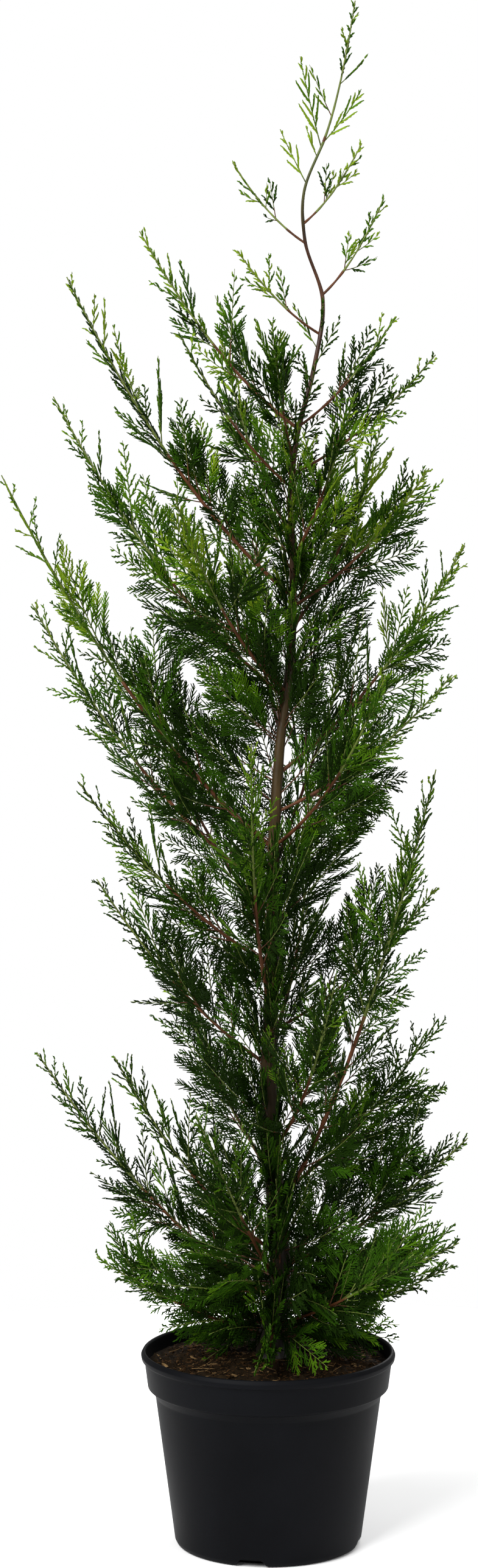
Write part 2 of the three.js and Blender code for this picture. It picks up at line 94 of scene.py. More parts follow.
# Limbs: root height on the trunk, compass direction in degrees, reach and rise in millimetres
LIMBS = (
    ("left_1", 248, 184, 206, 98),
    ("left_2", 290, 171, 288, 290),
    ("left_3", 345, 208, 216, 255),
    ("left_4", 570, 176, 203, 219),
    ("left_5", 690, 192, 228, 220),
    ("left_6", 775, 168, 289, 335),
    ("left_7", 828, 183, 314, 434),
    ("left_8", 1005, 172, 273, 347),
    ("left_9", 1121, 186, 261, 367),
    ("left_10", 1315, 177, 183, 226),
    ("left_11", 1248, 206, 142, 175),
    ("right_1", 250, 7, 218, 77),
    ("right_2", 285, -22, 226, 94),
    ("right_3", 330, 5, 222, 152),
    ("right_4", 415, 20, 207, 200),
    ("right_5", 395, -12, 187, 529),
    ("right_6", 610, 14, 203, 165),
    ("right_7", 870, -16, 210, 165),
    ("right_8", 915, 8, 220, 264),
    ("right_9", 1110, -14, 160, 160),
    ("right_10", 1262, 6, 167, 138),
    ("right_11", 1318, -14, 113, 125),
    ("front_1", 240, 266, 108, -2),
    ("front_2", 310, 246, 235, 245),
    ("front_3", 262, 316, 220, 118),
    ("front_4", 470, 288, 225, 240),
    ("front_5", 640, 264, 225, 330),
    ("front_6", 830, 305, 215, 215),
    ("front_7", 1010, 236, 225, 230),
    ("front_8", 1165, 294, 165, 190),
    ("front_9", 1275, 256, 105, 160),
    ("back_1", 248, 108, 220, 85),
    ("back_2", 315, 62, 240, 200),
    ("back_3", 440, 122, 250, 250),
    ("back_4", 590, 78, 255, 260),
    ("back_5", 740, 130, 255, 280),
    ("back_6", 800, 64, 250, 290),
    ("back_7", 960, 106, 240, 290),
    ("back_8", 1085, 56, 195, 235),
    ("back_9", 1195, 118, 170, 220),
    ("top_1", 1423, 186, 96, 95),
    ("top_2", 1468, -8, 71, 110),
    ("top_3", 1527, 176, 84, 92),
    ("top_4", 1549, 8, 68, 92),
    ("leader", 1642, -4, 36, 159),
)

# A limb's bend: shares of its reach outwards and sideways, and of its rise upwards
BEND_OUT = 0.52
BEND_SIDE = 0.08
BEND_UP = 0.3

# Long twigs straight from the trunk: height in millimetres, compass direction, climb in degrees, length
TRUNK_TWIGS = (
    (560, 200, 50, 110), (600, 175, 40, 110), (640, 190, 45, 120), (740, 355, 38, 165),
    (775, 5, 40, 165), (790, 8, 35, 160), (835, 184, 32, 165), (880, 196, 38, 160),
    (905, 176, 30, 165), (950, 205, 35, 150), (955, 215, 30, 150), (965, 315, 45, 120),
    (985, 200, 25, 140), (1000, 230, 35, 150), (1030, 0, 42, 160), (1150, 355, 45, 130),
    (1165, 186, 50, 115), (1190, 8, 30, 110), (1200, 170, 45, 100), (1075, 12, 38, 150),
    (1595, 178, 62, 66), (1625, 140, 65, 40), (1636, 190, 74, 100), (1641, 0, 47, 80),
)

# Long twigs on limbs: share of the limb's length, compass direction, climb in degrees, length
LIMB_TWIGS = {
    "left_1": (
        (0.45, 180, 40, 110), (0.6, 178, 45, 110), (0.7, 185, 35, 70),
        (0.65, 160, 65, 100), (0.75, 178, 60, 80),
    ),
    "left_2": ((0.4, 180, 5, 95), (0.45, 185, 20, 80)),
    "left_4": ((0.2, 180, 40, 110), (0.4, 180, 65, 120), (0.3, 190, 80, 120), (0.6, 178, 70, 120)),
    "left_5": ((0.2, 185, 10, 110), (0.25, 180, 60, 100), (0.3, 200, 30, 100), (0.55, 180, 35, 110)),
    "left_7": (
        (0.25, 200, 75, 140), (0.3, 190, 60, 140), (0.4, 180, 82, 150),
        (0.45, 180, 70, 110), (0.6, 180, 62, 150),
    ),
    "left_8": (
        (0.15, 185, 20, 110), (0.2, 178, 25, 110), (0.25, 170, 10, 110),
        (0.5, 175, 75, 120), (0.62, 178, 50, 100),
    ),
    "left_9": (
        (0.15, 175, 75, 110), (0.25, 185, 65, 110), (0.35, 175, 80, 110),
        (0.4, 180, 75, 100), (0.45, 175, 85, 100),
    ),
    "left_10": ((0.1, 90, 80, 100),),
    "right_1": ((0.3, 0, 30, 120), (0.5, 0, 50, 110), (0.65, 10, 60, 90), (0.75, 0, 65, 90)),
    "right_2": (
        (0.35, 355, 30, 120), (0.45, 20, 50, 100), (0.5, 0, 50, 120),
        (0.55, 350, 55, 90), (0.6, 10, 40, 90), (0.7, 5, 35, 80),
    ),
    "right_3": (
        (0.3, 0, 45, 140), (0.45, 0, 55, 130), (0.5, 0, 85, 130),
        (0.55, 350, 5, 80), (0.6, 10, 40, 110), (0.6, 355, 75, 130),
    ),
    "right_4": (
        (0.3, 350, -5, 140), (0.4, 5, 15, 130), (0.5, 340, 45, 100),
        (0.55, 10, 60, 90), (0.55, 350, 10, 110), (0.6, 0, 25, 80),
        (0.7, 10, -15, 80), (0.75, 180, 75, 60), (0.85, 350, 45, 60),
    ),
    "right_5": ((0.55, 170, 78, 140), (0.68, 185, 70, 110), (0.75, 350, 75, 100), (0.85, 170, 60, 70)),
    "right_6": ((0.35, 5, -10, 120), (0.5, 0, 80, 140), (0.7, 350, 80, 130)),
    "right_7": ((0.2, 0, -20, 110), (0.3, 0, -5, 110), (0.3, 10, -35, 100)),
    "right_8": ((0.4, 0, 15, 110), (0.55, 345, 20, 100), (0.6, 350, 75, 90), (0.65, 0, 25, 80)),
    "right_9": (
        (0.35, 5, 10, 110), (0.5, 0, 30, 110), (0.5, 0, 55, 100),
        (0.6, 0, 45, 100), (0.7, 355, 70, 80), (0.8, 0, 20, 60),
    ),
    "right_10": ((0.3, 10, 75, 110), (0.4, 0, 60, 100)),
    "right_11": ((0.4, 0, 55, 90),),
    "front_3": ((0.5, 350, 40, 110),),
    "top_1": ((0.4, 160, 78, 48), (0.6, 190, 20, 38)),
    "top_2": ((0.35, 20, 82, 48), (0.55, 350, 30, 36)),
    "top_3": ((0.4, 170, 80, 44), (0.6, 190, 15, 34)),
    "top_4": ((0.35, 20, 85, 44), (0.55, 350, 30, 34)),
}

# Shares of their length where the limbs in front and behind bear a long twig each
FILLING_SHARES = (0.3, 0.42, 0.55, 0.66, 0.76)

# Heights in metres between which the crown thins out into the leader
TOP_HEIGHTS = (1.35, 1.56)

# What changes with height is given by heights in metres and the value at each

# Factor on the spacing of a limb's twigs, by the height of its root
TWIG_GAP = ((0.3, 0.5, 0.95, 1.1, 1.25, 1.45, 1.65), (0.95, 1.1, 1.15, 1.35, 1.65, 2.0, 2.0))

# Twigs on the trunk: lean in degrees, upward bend, length, and place from 0 inside to 1 at the crown's rim
INNER_TWIG_LEAN = ((0.27, 0.4), (84.0, 40.0))
INNER_TWIG_LIFT = ((0.26, 0.42), (-0.3, 0.2))
INNER_TWIG_SIZE = ((0.24, 0.45, 0.62, 1.0, 1.2, 1.4, 1.64), (0.16, 0.15, 0.13, 0.13, 0.1, 0.06, 0.03))
INNER_TWIG_OUTER = ((1.2, 1.45), (0.1, 0.7))
LONG_TWIG_OUTER = ((1.1, 1.5), (0.3, 0.95))

# Factor on the width of shoots
STOUTNESS = ((1.05, 1.3, 1.55), (1.0, 1.13, 1.3))

# Share of a limb's length that has brown bark, by the height of its root
BROWN_SHARE = ((1.3, 1.5, 1.64), (0.55, 0.3, 0.06))

# Tints: the freshness that shoots at the low rim lose, which is painted shade under the crown above, and the
# freshness that all shoots gain by height, less low in the crown as painted shade and more at the top as
# young growth
LOW_RIM_PAINTED_SHADE = ((0.4, 0.8), (0.2, 0.0))
TINT_AND_SHADE_BY_HEIGHT = ((0.25, 0.45, 0.95, 1.15, 1.37, 1.5), (-0.02, -0.18, -0.12, 0.05, 0.05, 0.22))

# Seeds of the chance draws: how many each limb has, and the first of every other group
SEEDS_OF_A_LIMB = 1000
CHIP_SEEDS = 3000
DRY_CHIP_SEEDS = 5000
FIBRE_SEEDS = 7000
BARK_CRUMB_SEEDS = 20000
EARTH_CRUMB_SEEDS = 30000
SCALE_BEARERS = 50000
INNER_TWIG_SEEDS = 90000
LONG_TWIG_SEEDS = 95000
FILLING_SEEDS = 96000
BRANCHLET_SEEDS = 100000
SHOOT_SEEDS = 400000
CLADDING_SEEDS = 800000
SCALE_SEEDS = 900000


# Sizes and colours that a user may change


def length(name, description, millimetres):
    """A length property, given in millimetres and kept in metres."""
    return FloatProperty(
        name=name, description=description, default=millimetres * MM, precision=4, unit="LENGTH"
    )


def share(name, description, default):
    """A plain number: a share, a factor, a power or the like."""
    return FloatProperty(name=name, description=description, default=default, precision=3)


def angle(name, description, degrees):
    """An angle property, given in degrees and kept in radians."""
    return FloatProperty(name=name, description=description, default=math.radians(degrees), subtype="ANGLE")


def colour(name, description, default):
    """A plain base colour."""
    return FloatVectorProperty(
        name=name, description=description, default=default, subtype="COLOR", min=0.0, max=1.0
    )


def number(name, description, default):
    """A count."""
    return IntProperty(name=name, description=description, default=default)


class PotSizes(bpy.types.PropertyGroup):
    """Sizes of the moulded pot."""

    height: length("Height", "Underside to the top of the lip", 232)
    lip_radius: length("Lip radius", "Outer radius of the rolled lip", 150.3)
    lip_height: length("Lip height", "Height of the rolled lip", 12)
    lip_reach: length("Lip reach", "How far the lip stands out from the collar", 4.2)
    collar_drop: length("Collar drop", "Lip's top to the collar's lower edge", 43)
    collar_radius: length("Collar radius", "Radius at the collar's lower edge", 142.2)
    step: length("Step", "Height of the step under the collar", 11)
    body_radius: length("Body radius", "Radius of the body under the step", 133.2)
    foot_radius: length("Foot radius", "Radius just over the foot", 110)
    foot_corner: length("Foot corner", "Rounding of the foot", 6)
    wall: length("Wall", "Wall thickness", 2.5)
    floor: length("Floor", "Floor thickness", 4)
    notch_width: length("Notch width", "Drain notch at the underside", 38)
    notch_top: length("Notch top width", "Drain notch at its top", 26)
    notch_height: length("Notch height", "Height of a drain notch", 9)
    notch_depth: length("Notch depth", "How far a drain notch goes in", 16)
    notch_turn: angle("Notch direction", "Compass direction of the first drain notch", 259)
    notch_count: number("Notches", "Drain notches round the foot", 4)
    softness: length("Softness", "Rounding of the moulded edges", 0.6)
    around: number("Faces around", "Faces round the pot", 288)
    plastic: colour("Plastic", "Near-black plastic", (0.0022, 0.0024, 0.0031))


class CompostSizes(bpy.types.PropertyGroup):
    """Sizes of the compost and what lies on it."""

    drop: length("Drop", "Pot's top to the compost at the wall", 17)
    crown: length("Crown", "Rise of the compost towards the trunk", 8)
    radius: length("Radius", "Radius of the compost at the wall", 142.4)
    depth: length("Depth", "Depth of the compost bed", 22)
    clods: length("Clods", "Height of the clods", 6.0)
    chips: number("Chips", "Bark chips on the compost", 1300)
    crumbs: number("Crumbs", "Crumbs of bark, and as many of compost", 2600)
    fibres: number("Fibres", "Fibres on the compost", 170)
    dark: colour("Compost", "Moist compost", (0.0105, 0.0060, 0.0021))
    chip: colour("Chips", "Weathered bark chips", (0.045, 0.022, 0.0075))
    pale: colour("Pale chips", "Dry chips and fibres", (0.155, 0.094, 0.038))


class BarkSizes(bpy.types.PropertyGroup):
    """Sizes of trunk and limbs."""

    foot_radius: length("Foot radius", "Trunk radius over the root flare", 13)
    tip_radius: length("Tip radius", "Trunk radius at its tip", 1.6)
    taper: share("Taper", "Power of the trunk's taper", 1.4)
    flare_radius: length("Flare", "Root flare at the compost", 7)
    flare_height: length("Flare height", "Height over which the flare fades", 20)
    relief: length("Relief", "Depth of the bark's furrows", 0.5)
    collar: length("Limb collar", "Swelling of the trunk where a limb leaves it", 1.6)
    limb_root: length("Limb root radius", "Least limb radius at the trunk", 1.0)
    limb_thickening: share("Limb thickening", "Limb radius gained for each unit of its length", 0.0038)
    limb_tip: length("Limb tip radius", "Limb radius at the tip", 0.7)
    limb_taper: share("Limb taper", "Power of a limb's taper", 0.8)
    trunk_colour: colour("Trunk", "Smooth olive-brown bark", (0.060, 0.037, 0.012))
    limb_colour: colour("Limbs", "Red-brown bark", (0.085, 0.031, 0.012))


class FoliageSizes(bpy.types.PropertyGroup):
    """Sizes of twigs, branchlets and shoots, and the tints dealt out to them."""

    twig_spacing: length("Twig spacing", "Between twigs along a limb", 15)
    twig_angle: angle("Twig angle", "Twig from its limb", 36)
    twig_longest: length("Longest twig", "Upper limit of a twig's length", 165)
    twig_shortest: length("Shortest twig", "Lower limit of a twig's length", 12)
    twig_share: share("Twig share", "Twig length as a share of its limb", 0.5)
    twig_fade: share("Twig fade", "Power by which twigs shorten towards the limb's tip", 0.65)
    branchlet_spacing: length("Branchlet spacing", "Between branchlets along a twig", 5.4)
    branchlet_angle: angle("Branchlet angle", "Branchlet from its twig", 40)
    branchlet_share: share("Branchlet share", "Branchlet length as a share of its twig", 0.5)
    shoot_spacing: length("Shoot spacing", "Between shoots along a branchlet", 3.1)
    shoot_angle: angle("Shoot angle", "Shoot from its branchlet", 34)
    shoot_share: share("Shoot share", "Shoot length as a share of its branchlet", 0.5)
    shoot_width: length("Shoot width", "Width of a last shoot", 1.85)
    limb_clad: share("Clad limb", "Share of a limb past which branchlets grow straight from it", 0.5)
    # The deep green of the inner sprays stands partly for older foliage and partly for painted shade.
    deep: colour("Deep green", "Shaded inner sprays", (0.0086, 0.0222, 0.0020))
    middle: colour("Middle green", "Most sprays", (0.0205, 0.060, 0.0026))
    fresh: colour("Fresh green", "Outer sprays", (0.057, 0.130, 0.0044))
    tip: colour("Tip green", "Young tips", (0.140, 0.222, 0.0100))
    stem_green: colour("Green stems", "Young stems", (0.105, 0.138, 0.022))


class StageSizes(bpy.types.PropertyGroup):
    """Floor, light and camera."""

    floor_radius: length("Floor radius", "Radius of the pale floor", 1200)
    floor_colour: colour("Floor", "Plain pale floor", (0.95, 0.95, 0.95))
    sky: share("Surround", "Brightness of the soft surround", 0.36)
    key_power: share("Key light", "Power of the soft key light in watts", 365.0)
    fill_power: share("Fill light", "Power of the soft fill light in watts", 45.0)
    wash_power: share("Floor light", "Power of the light on the floor behind in watts", 90.0)
    lens: share("Lens", "Focal length in millimetres on a 36 mm sensor", 87.2)
    camera_distance: length("Camera distance", "Camera in front of the trunk", 4400)
    camera_height: length("Camera height", "Camera over the floor", 1346)
    camera_side: length("Camera side", "Camera to the right of the trunk", -34.5)
    camera_pitch: angle("Camera pitch", "Camera's tilt down", 5.747)


# Number and vector helpers, all on whole arrays


def chance(seed, channel):
    """Repeatable number from 0 to 1: the fraction of a large sine of seed and channel.

    A channel's number has no meaning but to keep the draws of one seed apart.
    """
    seed_step, channel_step, wave_height = 12.9898, 78.233, 43758.5453
    wave = np.sin(np.asarray(seed, dtype=float) * seed_step + channel * channel_step) * wave_height
    return wave - np.floor(wave)


def swing(seed, channel):
    """Repeatable number from -1 to 1."""
    return 2.0 * chance(seed, channel) - 1.0


def scatter(seed, *channels):
    """Repeatable vectors, each part a swing of its own channel."""
    return np.stack([swing(seed, channel) for channel in channels], axis=-1)


def by_height(heights, table):
    """Values at given heights, straight between the heights of a table."""
    return np.interp(heights, *table)


def unit(vectors):
    """Vectors scaled to length one."""
    return vectors / np.linalg.norm(vectors, axis=-1, keepdims=True)


def circle(count):
    """Turns at equal steps round a circle."""
    return 2.0 * np.pi * np.arange(count) / count


def polar(radius, turn):
    """Level places from radius and turn: x = r cos, y = r sin."""
    return radius * np.cos(turn), radius * np.sin(turn)


def compass(turn):
    """Level directions: (cos, sin, 0)."""
    return np.stack([np.cos(turn), np.sin(turn), np.zeros_like(turn)], axis=-1)


def crosswise(turn):
    """Level directions a quarter turn to the left of compass directions: (-sin, cos, 0)."""
    return np.stack([-np.sin(turn), np.cos(turn), np.zeros_like(turn)], axis=-1)


def square_to(direction, vector):
    """The part of a vector that stands square to a direction, scaled to length one."""
    inside = np.sum(vector * direction, axis=-1, keepdims=True)
    return unit(vector - inside * direction)


def leaning(axis, towards, lean):
    """Direction that leans from an axis towards one side by an angle: cos(lean) axis + sin(lean) towards."""
    lean = np.asarray(lean)[..., None]
    return unit(np.cos(lean) * axis + np.sin(lean) * towards)


def turned(vectors, axis, turn):
    """Vectors that stand square to an axis, turned round it: v cos + (axis x v) sin."""
    turn = np.asarray(turn)[..., None]
    return vectors * np.cos(turn) + np.cross(axis, vectors) * np.sin(turn)


def ripples(places, wavelength, seed, waves=9):
    """Uneven field about zero: the mean of plane waves with chance directions, lengths and phases."""
    seeds_of_a_field = 50
    shortest, spread = 0.6, 0.8
    numbers = seed * seeds_of_a_field + np.arange(waves)
    heading = unit(scatter(numbers, 1, 2, 3))
    steps = 2.0 * np.pi / (wavelength * (shortest + spread * chance(numbers, 4)))
    phase = 2.0 * np.pi * chance(numbers, 5)
    return np.sin(places @ heading.T * steps + phase).sum(axis=-1) / math.sqrt(waves)


def layered_ripples(places, layers):
    """Sum of several uneven fields, each given by its weight, wavelength and seed."""
    return sum(weight * ripples(places, wavelength, seed) for weight, wavelength, seed in layers)


# Mesh helpers


def grid_faces(rows, columns):
    """Quads of a grid whose columns run round in a ring, facing outwards for columns that turn left."""
    row = columns * np.arange(rows - 1)[:, None]
    column = np.arange(columns)[None, :]
    after = (column + 1) % columns
    corners = (row + column, row + after, row + columns + after, row + columns + column)
    return np.stack(np.broadcast_arrays(*corners), axis=-1).reshape(-1, 4)


def fan(middle, start, count, downwards=False):
    """Triangles from a middle vertex to a ring of vertices that turns left, facing up or down."""
    first = np.arange(count)
    after = (first + 1) % count
    pair = (after, first) if downwards else (first, after)
    return np.stack([np.full(count, middle), start + pair[0], start + pair[1]], axis=-1)


def end_caps(rows, sides):
    """The two end faces of a tube made of rings."""
    return np.stack([np.arange(sides)[::-1], (rows - 1) * sides + np.arange(sides)])


def copies(faces, size, count):
    """The same faces for each of several equal blocks of vertices."""
    return (faces[None] + np.arange(count)[:, None, None] * size).reshape(-1, faces.shape[1])


def tubes(middles, radii, sides):
    """Closed tubes along lines of points: rings of a radius in the plane square to each line.

    middles is (tubes, rows, 3), and radii is (tubes, rows).
    """
    count, rows, _ = middles.shape
    steep = 0.8
    along = unit(np.gradient(middles, axis=1))
    chord = unit(middles[:, -1] - middles[:, 0])
    rough = np.where(np.abs(chord[:, 2:]) > steep, np.array((1.0, 0.0, 0.0)), UP)
    first = square_to(along, rough[:, None])
    second = np.cross(along, first)
    around = circle(sides)
    ring = first[:, :, None] * np.cos(around)[:, None] + second[:, :, None] * np.sin(around)[:, None]
    points = middles[:, :, None] + ring * radii[..., None, None]
    size = rows * sides
    return points, [copies(grid_faces(rows, sides), size, count), copies(end_caps(rows, sides), size, count)]


def upright_tube(middles, radii, around):
    """One closed tube of level rings along a line that climbs: middle + radius (cos, sin, 0)."""
    points = middles[:, None] + radii[..., None] * compass(around)
    return points, [grid_faces(*radii.shape), end_caps(*radii.shape)]


def turned_shell(rows, low, high):
    """Closed shell of rings of points, from its lowest ring to its last, with a middle point at each end."""
    count, sides, _ = rows.shape
    total = count * sides
    vertices = np.concatenate([rows.reshape(-1, 3), [(0.0, 0.0, low), (0.0, 0.0, high)]])
    below = fan(total, 0, sides, downwards=True)
    above = fan(total + 1, total - sides, sides)
    return vertices, [grid_faces(count, sides), below, above]


def add_object(name, data):
    """A new object in the scene, at the origin."""
    added = bpy.data.objects.new(name, data)
    bpy.context.scene.collection.objects.link(added)
    return added


def put(name, blocks, finish, replaced=(), smooth=True):
    """Joins blocks of vertices and faces into one mesh object that rides on the body."""
    vertices = np.concatenate([points.reshape(-1, 3) for points, _ in blocks])
    starts = np.cumsum([0] + [points.reshape(-1, 3).shape[0] for points, _ in blocks])
    faces = [part + first for (_, parts), first in zip(blocks, starts) for part in parts]
    corners = np.concatenate([part.ravel() for part in faces])
    counts = np.concatenate([np.full(len(part), part.shape[1]) for part in faces])
    mesh = bpy.data.meshes.new(name)
    mesh.vertices.add(len(vertices))
    mesh.vertices.foreach_set("co", vertices.astype(np.float32).ravel())
    mesh.loops.add(len(corners))
    mesh.loops.foreach_set("vertex_index", corners.astype(np.int32))
    mesh.polygons.add(len(counts))
    mesh.polygons.foreach_set("loop_start", (np.cumsum(counts) - counts).astype(np.int32))
    mesh.polygons.foreach_set("use_smooth", np.full(len(counts), smooth))
    mesh.update(calc_edges=True)
    mesh.materials.append(finish)
    piece = add_object(name, mesh)
    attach(piece, BODY)
    if replaced:
        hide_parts(*replaced)


# Finishes


def scaled(base, factor):
    """A colour made lighter or darker."""
    return tuple(min(1.0, channel * factor) for channel in base)


class Finish:
    """A material under way: its shader's sockets, the piece's own coordinates, and the nodes between them."""

    def __init__(self, name, base, roughness, specular):
        self.material = bpy.data.materials.new(name)
        self.material.use_nodes = True
        self.nodes = self.material.node_tree.nodes
        self.link = self.material.node_tree.links.new
        self.shader = self.nodes["Principled BSDF"].inputs
        self.shader["Base Color"].default_value = (*base, 1.0)
        self.shader["Roughness"].default_value = roughness
        self.shader["Specular IOR Level"].default_value = specular
        self.place = self.nodes.new("ShaderNodeTexCoord").outputs["Object"]

    def noise(self, scale, detail=4.0, stretch=None):
        """Noise on the piece's own coordinates, stretched along an axis if asked."""
        field = self.nodes.new("ShaderNodeTexNoise")
        field.inputs["Scale"].default_value = scale
        field.inputs["Detail"].default_value = detail
        place = self.place
        if stretch:
            mapping = self.nodes.new("ShaderNodeMapping")
            mapping.inputs["Scale"].default_value = stretch
            self.link(place, mapping.inputs["Vector"])
            place = mapping.outputs["Vector"]
        self.link(place, field.inputs["Vector"])
        return field.outputs["Fac"]

    def ramp(self, value, stops):
        """Colours picked by a value between the given stops."""
        band = self.nodes.new("ShaderNodeValToRGB")
        elements = band.color_ramp.elements
        while len(elements) < len(stops):
            elements.new(0.5)
        for element, (position, shade) in zip(elements, stops):
            element.position = position
            element.color = (*shade, 1.0)
        self.link(value, band.inputs["Fac"])
        return band.outputs["Color"]

    def span(self, value, limits):
        """A value carried from one range to another, with limits given by the names of their sockets."""
        carried = self.nodes.new("ShaderNodeMapRange")
        for socket, limit in limits.items():
            carried.inputs[socket].default_value = limit
        self.link(value, carried.inputs["Value"])
        return carried.outputs["Result"]

    def paint(self, shades):
        """Base colour from a colour that varies."""
        self.link(shades, self.shader["Base Color"])

    def roughen(self, value, low, high):
        """Roughness between two limits by a value."""
        self.link(self.span(value, {"To Min": low, "To Max": high}), self.shader["Roughness"])

    def emboss(self, value, height):
        """Bump of a height in metres by a value."""
        bump = self.nodes.new("ShaderNodeBump")
        bump.inputs["Strength"].default_value = 1.0
        bump.inputs["Distance"].default_value = height
        self.link(value, bump.inputs["Height"])
        self.link(bump.outputs["Normal"], self.shader["Normal"])


def mottled(name, base, spread, scale, roughness, specular, bump):
    """A material whose colour drifts about its base, with matching roughness and finer relief."""
    dark_end, middle, light_end = 0.3, 0.5, 0.72
    roughness_span = 0.1
    fineness = 12.0
    finish = Finish(name, base, roughness, specular)
    drift = finish.noise(scale)
    stops = (
        (dark_end, scaled(base, 1.0 - spread)),
        (middle, tuple(base)),
        (light_end, scaled(base, 1.0 + spread)),
    )
    finish.paint(finish.ramp(drift, stops))
    finish.roughen(drift, roughness - roughness_span, roughness + roughness_span)
    finish.emboss(finish.noise(scale * fineness, detail=3.0), bump)
    return finish.material


# Growth: the trunk's middle line, the limbs and the shoots on them


def trunk_line(steps=24):
    """Uniform Catmull-Rom curve through the sway points.

    Between two points it is cubic in the step t, weighted by the two points and their neighbours.
    """
    knots = np.array([(x, y, z) for z, x, y in TRUNK_SWAY]) * MM
    knots = np.concatenate([[2 * knots[0] - knots[1]], knots, [2 * knots[-1] - knots[-2]]])
    t = np.linspace(0.0, 1.0, steps, endpoint=False)[None, :, None]
    a, b, c, d = (knots[k : len(knots) - 3 + k, None] for k in range(4))
    points = 0.5 * (2 * b + (c - a) * t + (2 * a - 5 * b + 4 * c - d) * t**2 + (3 * b - a - 3 * c + d) * t**3)
    return np.concatenate([points.reshape(-1, 3), knots[-2:-1]])


TRUNK_LINE = trunk_line()
TRUNK_FOOT = TRUNK_LINE[0, 2]
TRUNK_TIP = TRUNK_LINE[-1, 2]


def trunk_at(heights):
    """Middle of the trunk at given heights."""
    heights = np.asarray(heights, dtype=float)
    sways = [np.interp(heights, TRUNK_LINE[:, 2], TRUNK_LINE[:, k]) for k in (0, 1)]
    return np.stack([*sways, heights], axis=-1)


def trunk_radius(heights, bark):
    """Trunk radius: a power of the height left to the tip, with a root flare that fades out upwards."""
    left = np.clip((TRUNK_TIP - heights) / (TRUNK_TIP - TRUNK_FOOT), 0.0, 1.0)
    flare = bark.flare_radius * np.exp((TRUNK_FOOT - heights) / bark.flare_height)
    return bark.tip_radius + (bark.foot_radius - bark.tip_radius) * left**bark.taper + flare


class Limbs:
    """Every limb as a quadratic curve: (1 - t)^2 root + 2 t (1 - t) bend + t^2 tip."""

    def __init__(self, steps=33):
        table = np.array([limb[1:] for limb in LIMBS], dtype=float)
        height, heading, reach, rise = table.T
        self.seed = np.arange(1, len(LIMBS) + 1)
        self.azimuth = np.radians(heading)
        self.reach = reach * MM
        self.root = trunk_at(height * MM)
        out = compass(self.azimuth)
        side = crosswise(self.azimuth)
        sway = swing(self.seed, 1) * BEND_SIDE * self.reach
        lift = (rise * MM)[:, None] * UP
        self.bend = self.root + BEND_OUT * self.reach[:, None] * out + BEND_UP * lift + sway[:, None] * side
        self.tip = self.root + self.reach[:, None] * out + lift
        line = self.at(np.arange(len(LIMBS))[:, None], np.linspace(0.0, 1.0, steps)[None, :])
        self.length = np.linalg.norm(np.diff(line, axis=1), axis=-1).sum(axis=-1)

    def at(self, which, t):
        """Points on limbs."""
        t = np.asarray(t)[..., None]
        return (1 - t) ** 2 * self.root[which] + 2 * t * (1 - t) * self.bend[which] + t**2 * self.tip[which]

    def along(self, which, t):
        """Directions of limbs."""
        t = np.asarray(t)[..., None]
        inner, outer = self.bend[which] - self.root[which], self.tip[which] - self.bend[which]
        return unit((1 - t) * inner + t * outer)

    def radius(self, which, t, bark):
        """Limb radius: thin at the tip, and thicker at the root the longer the limb."""
        root = bark.limb_root + bark.limb_thickening * self.length[which]
        return bark.limb_tip + (root - bark.limb_tip) * (1.0 - t) ** bark.limb_taper


class Habit(NamedTuple):
    """How far chance moves a group of twigs: the plane of their shoots in degrees, and their bend."""

    plane: float
    bend: float


class Rule(NamedTuple):
    """How side shoots grow on their parents, in metres and radians. The rim is the crown's outside."""

    spacing: float  # from one shoot to the next
    lean: float  # from the parent
    hug: float  # share of the lean that is lost at the rim
    crowd: float  # share of the spacing that is lost at the rim
    part: float  # length as a share of the parent's
    shy: float  # share of the length that is lost at the rim
    fade: float  # power by which shoots shorten towards the parent's tip
    shortest: float
    longest: float
    tilt: float  # most that a shoot leaves its parent's plane by
    curl: float  # how far a shoot curves back to its parent's direction
    top_gap: float  # factor on the spacing at the top of the tree
    top_part: float  # factor on the length at the top of the tree
    seeds: int


class Shoots:
    """Curved shoots: start + length (t heading + t^2 / 2 bend), with the side that their own shoots grow to.

    outer runs from 0 by the trunk to 1 at the crown's rim, and turn is a shoot's own chance of tint.
    """

    def __init__(self, start, heading, across, length, bend, outer, turn):
        self.start, self.heading, self.across = start, heading, across
        self.length, self.bend, self.outer, self.turn = length, bend, outer, turn

    def at(self, which, t):
        """Points on shoots."""
        t = np.asarray(t)[..., None]
        run = t * self.heading[which] + 0.5 * t**2 * self.bend[which]
        return self.start[which] + self.length[which][..., None] * run

    def along(self, which, t):
        """Directions of shoots."""
        t = np.asarray(t)[..., None]
        return unit(self.heading[which] + t * self.bend[which])

    def tips(self):
        """Far ends of all shoots."""
        return self.at(slice(None), np.ones(len(self.length)))

    def pick(self, mask):
        """Only the shoots that a mask keeps."""
        return Shoots(*(values[mask] for values in vars(self).values()))


def joined(*groups):
    """Several sets of shoots as one."""
    return Shoots(*(np.concatenate(values) for values in zip(*(vars(group).values() for group in groups))))


def sites(lengths, spacing, first, last):
    """Owner, number in turn and place along the owner of each shoot, a spacing apart between two shares."""
    unevenness = 0.3
    count = np.maximum(1, np.round((last - first) * lengths / spacing).astype(int))
    owner = np.repeat(np.arange(len(lengths)), count)
    order = np.arange(len(owner)) - np.repeat(np.cumsum(count) - count, count)
    step = (order + 0.5 + unevenness * swing(np.arange(len(owner)), 11)) / count[owner]
    return owner, order, first + (last - first) * step


def clear_of_pot(points):
    """Whether points lie over the compost, which falls away from the trunk, and over the pot's rim."""
    rim_inside, rim_height = 0.138, 0.236
    compost_height, compost_fall = 0.2255, 0.05
    spread = np.hypot(points[:, 0], points[:, 1])
    lowest = np.where(spread < rim_inside, compost_height - compost_fall * spread, rim_height)
    return points[:, 2] > lowest


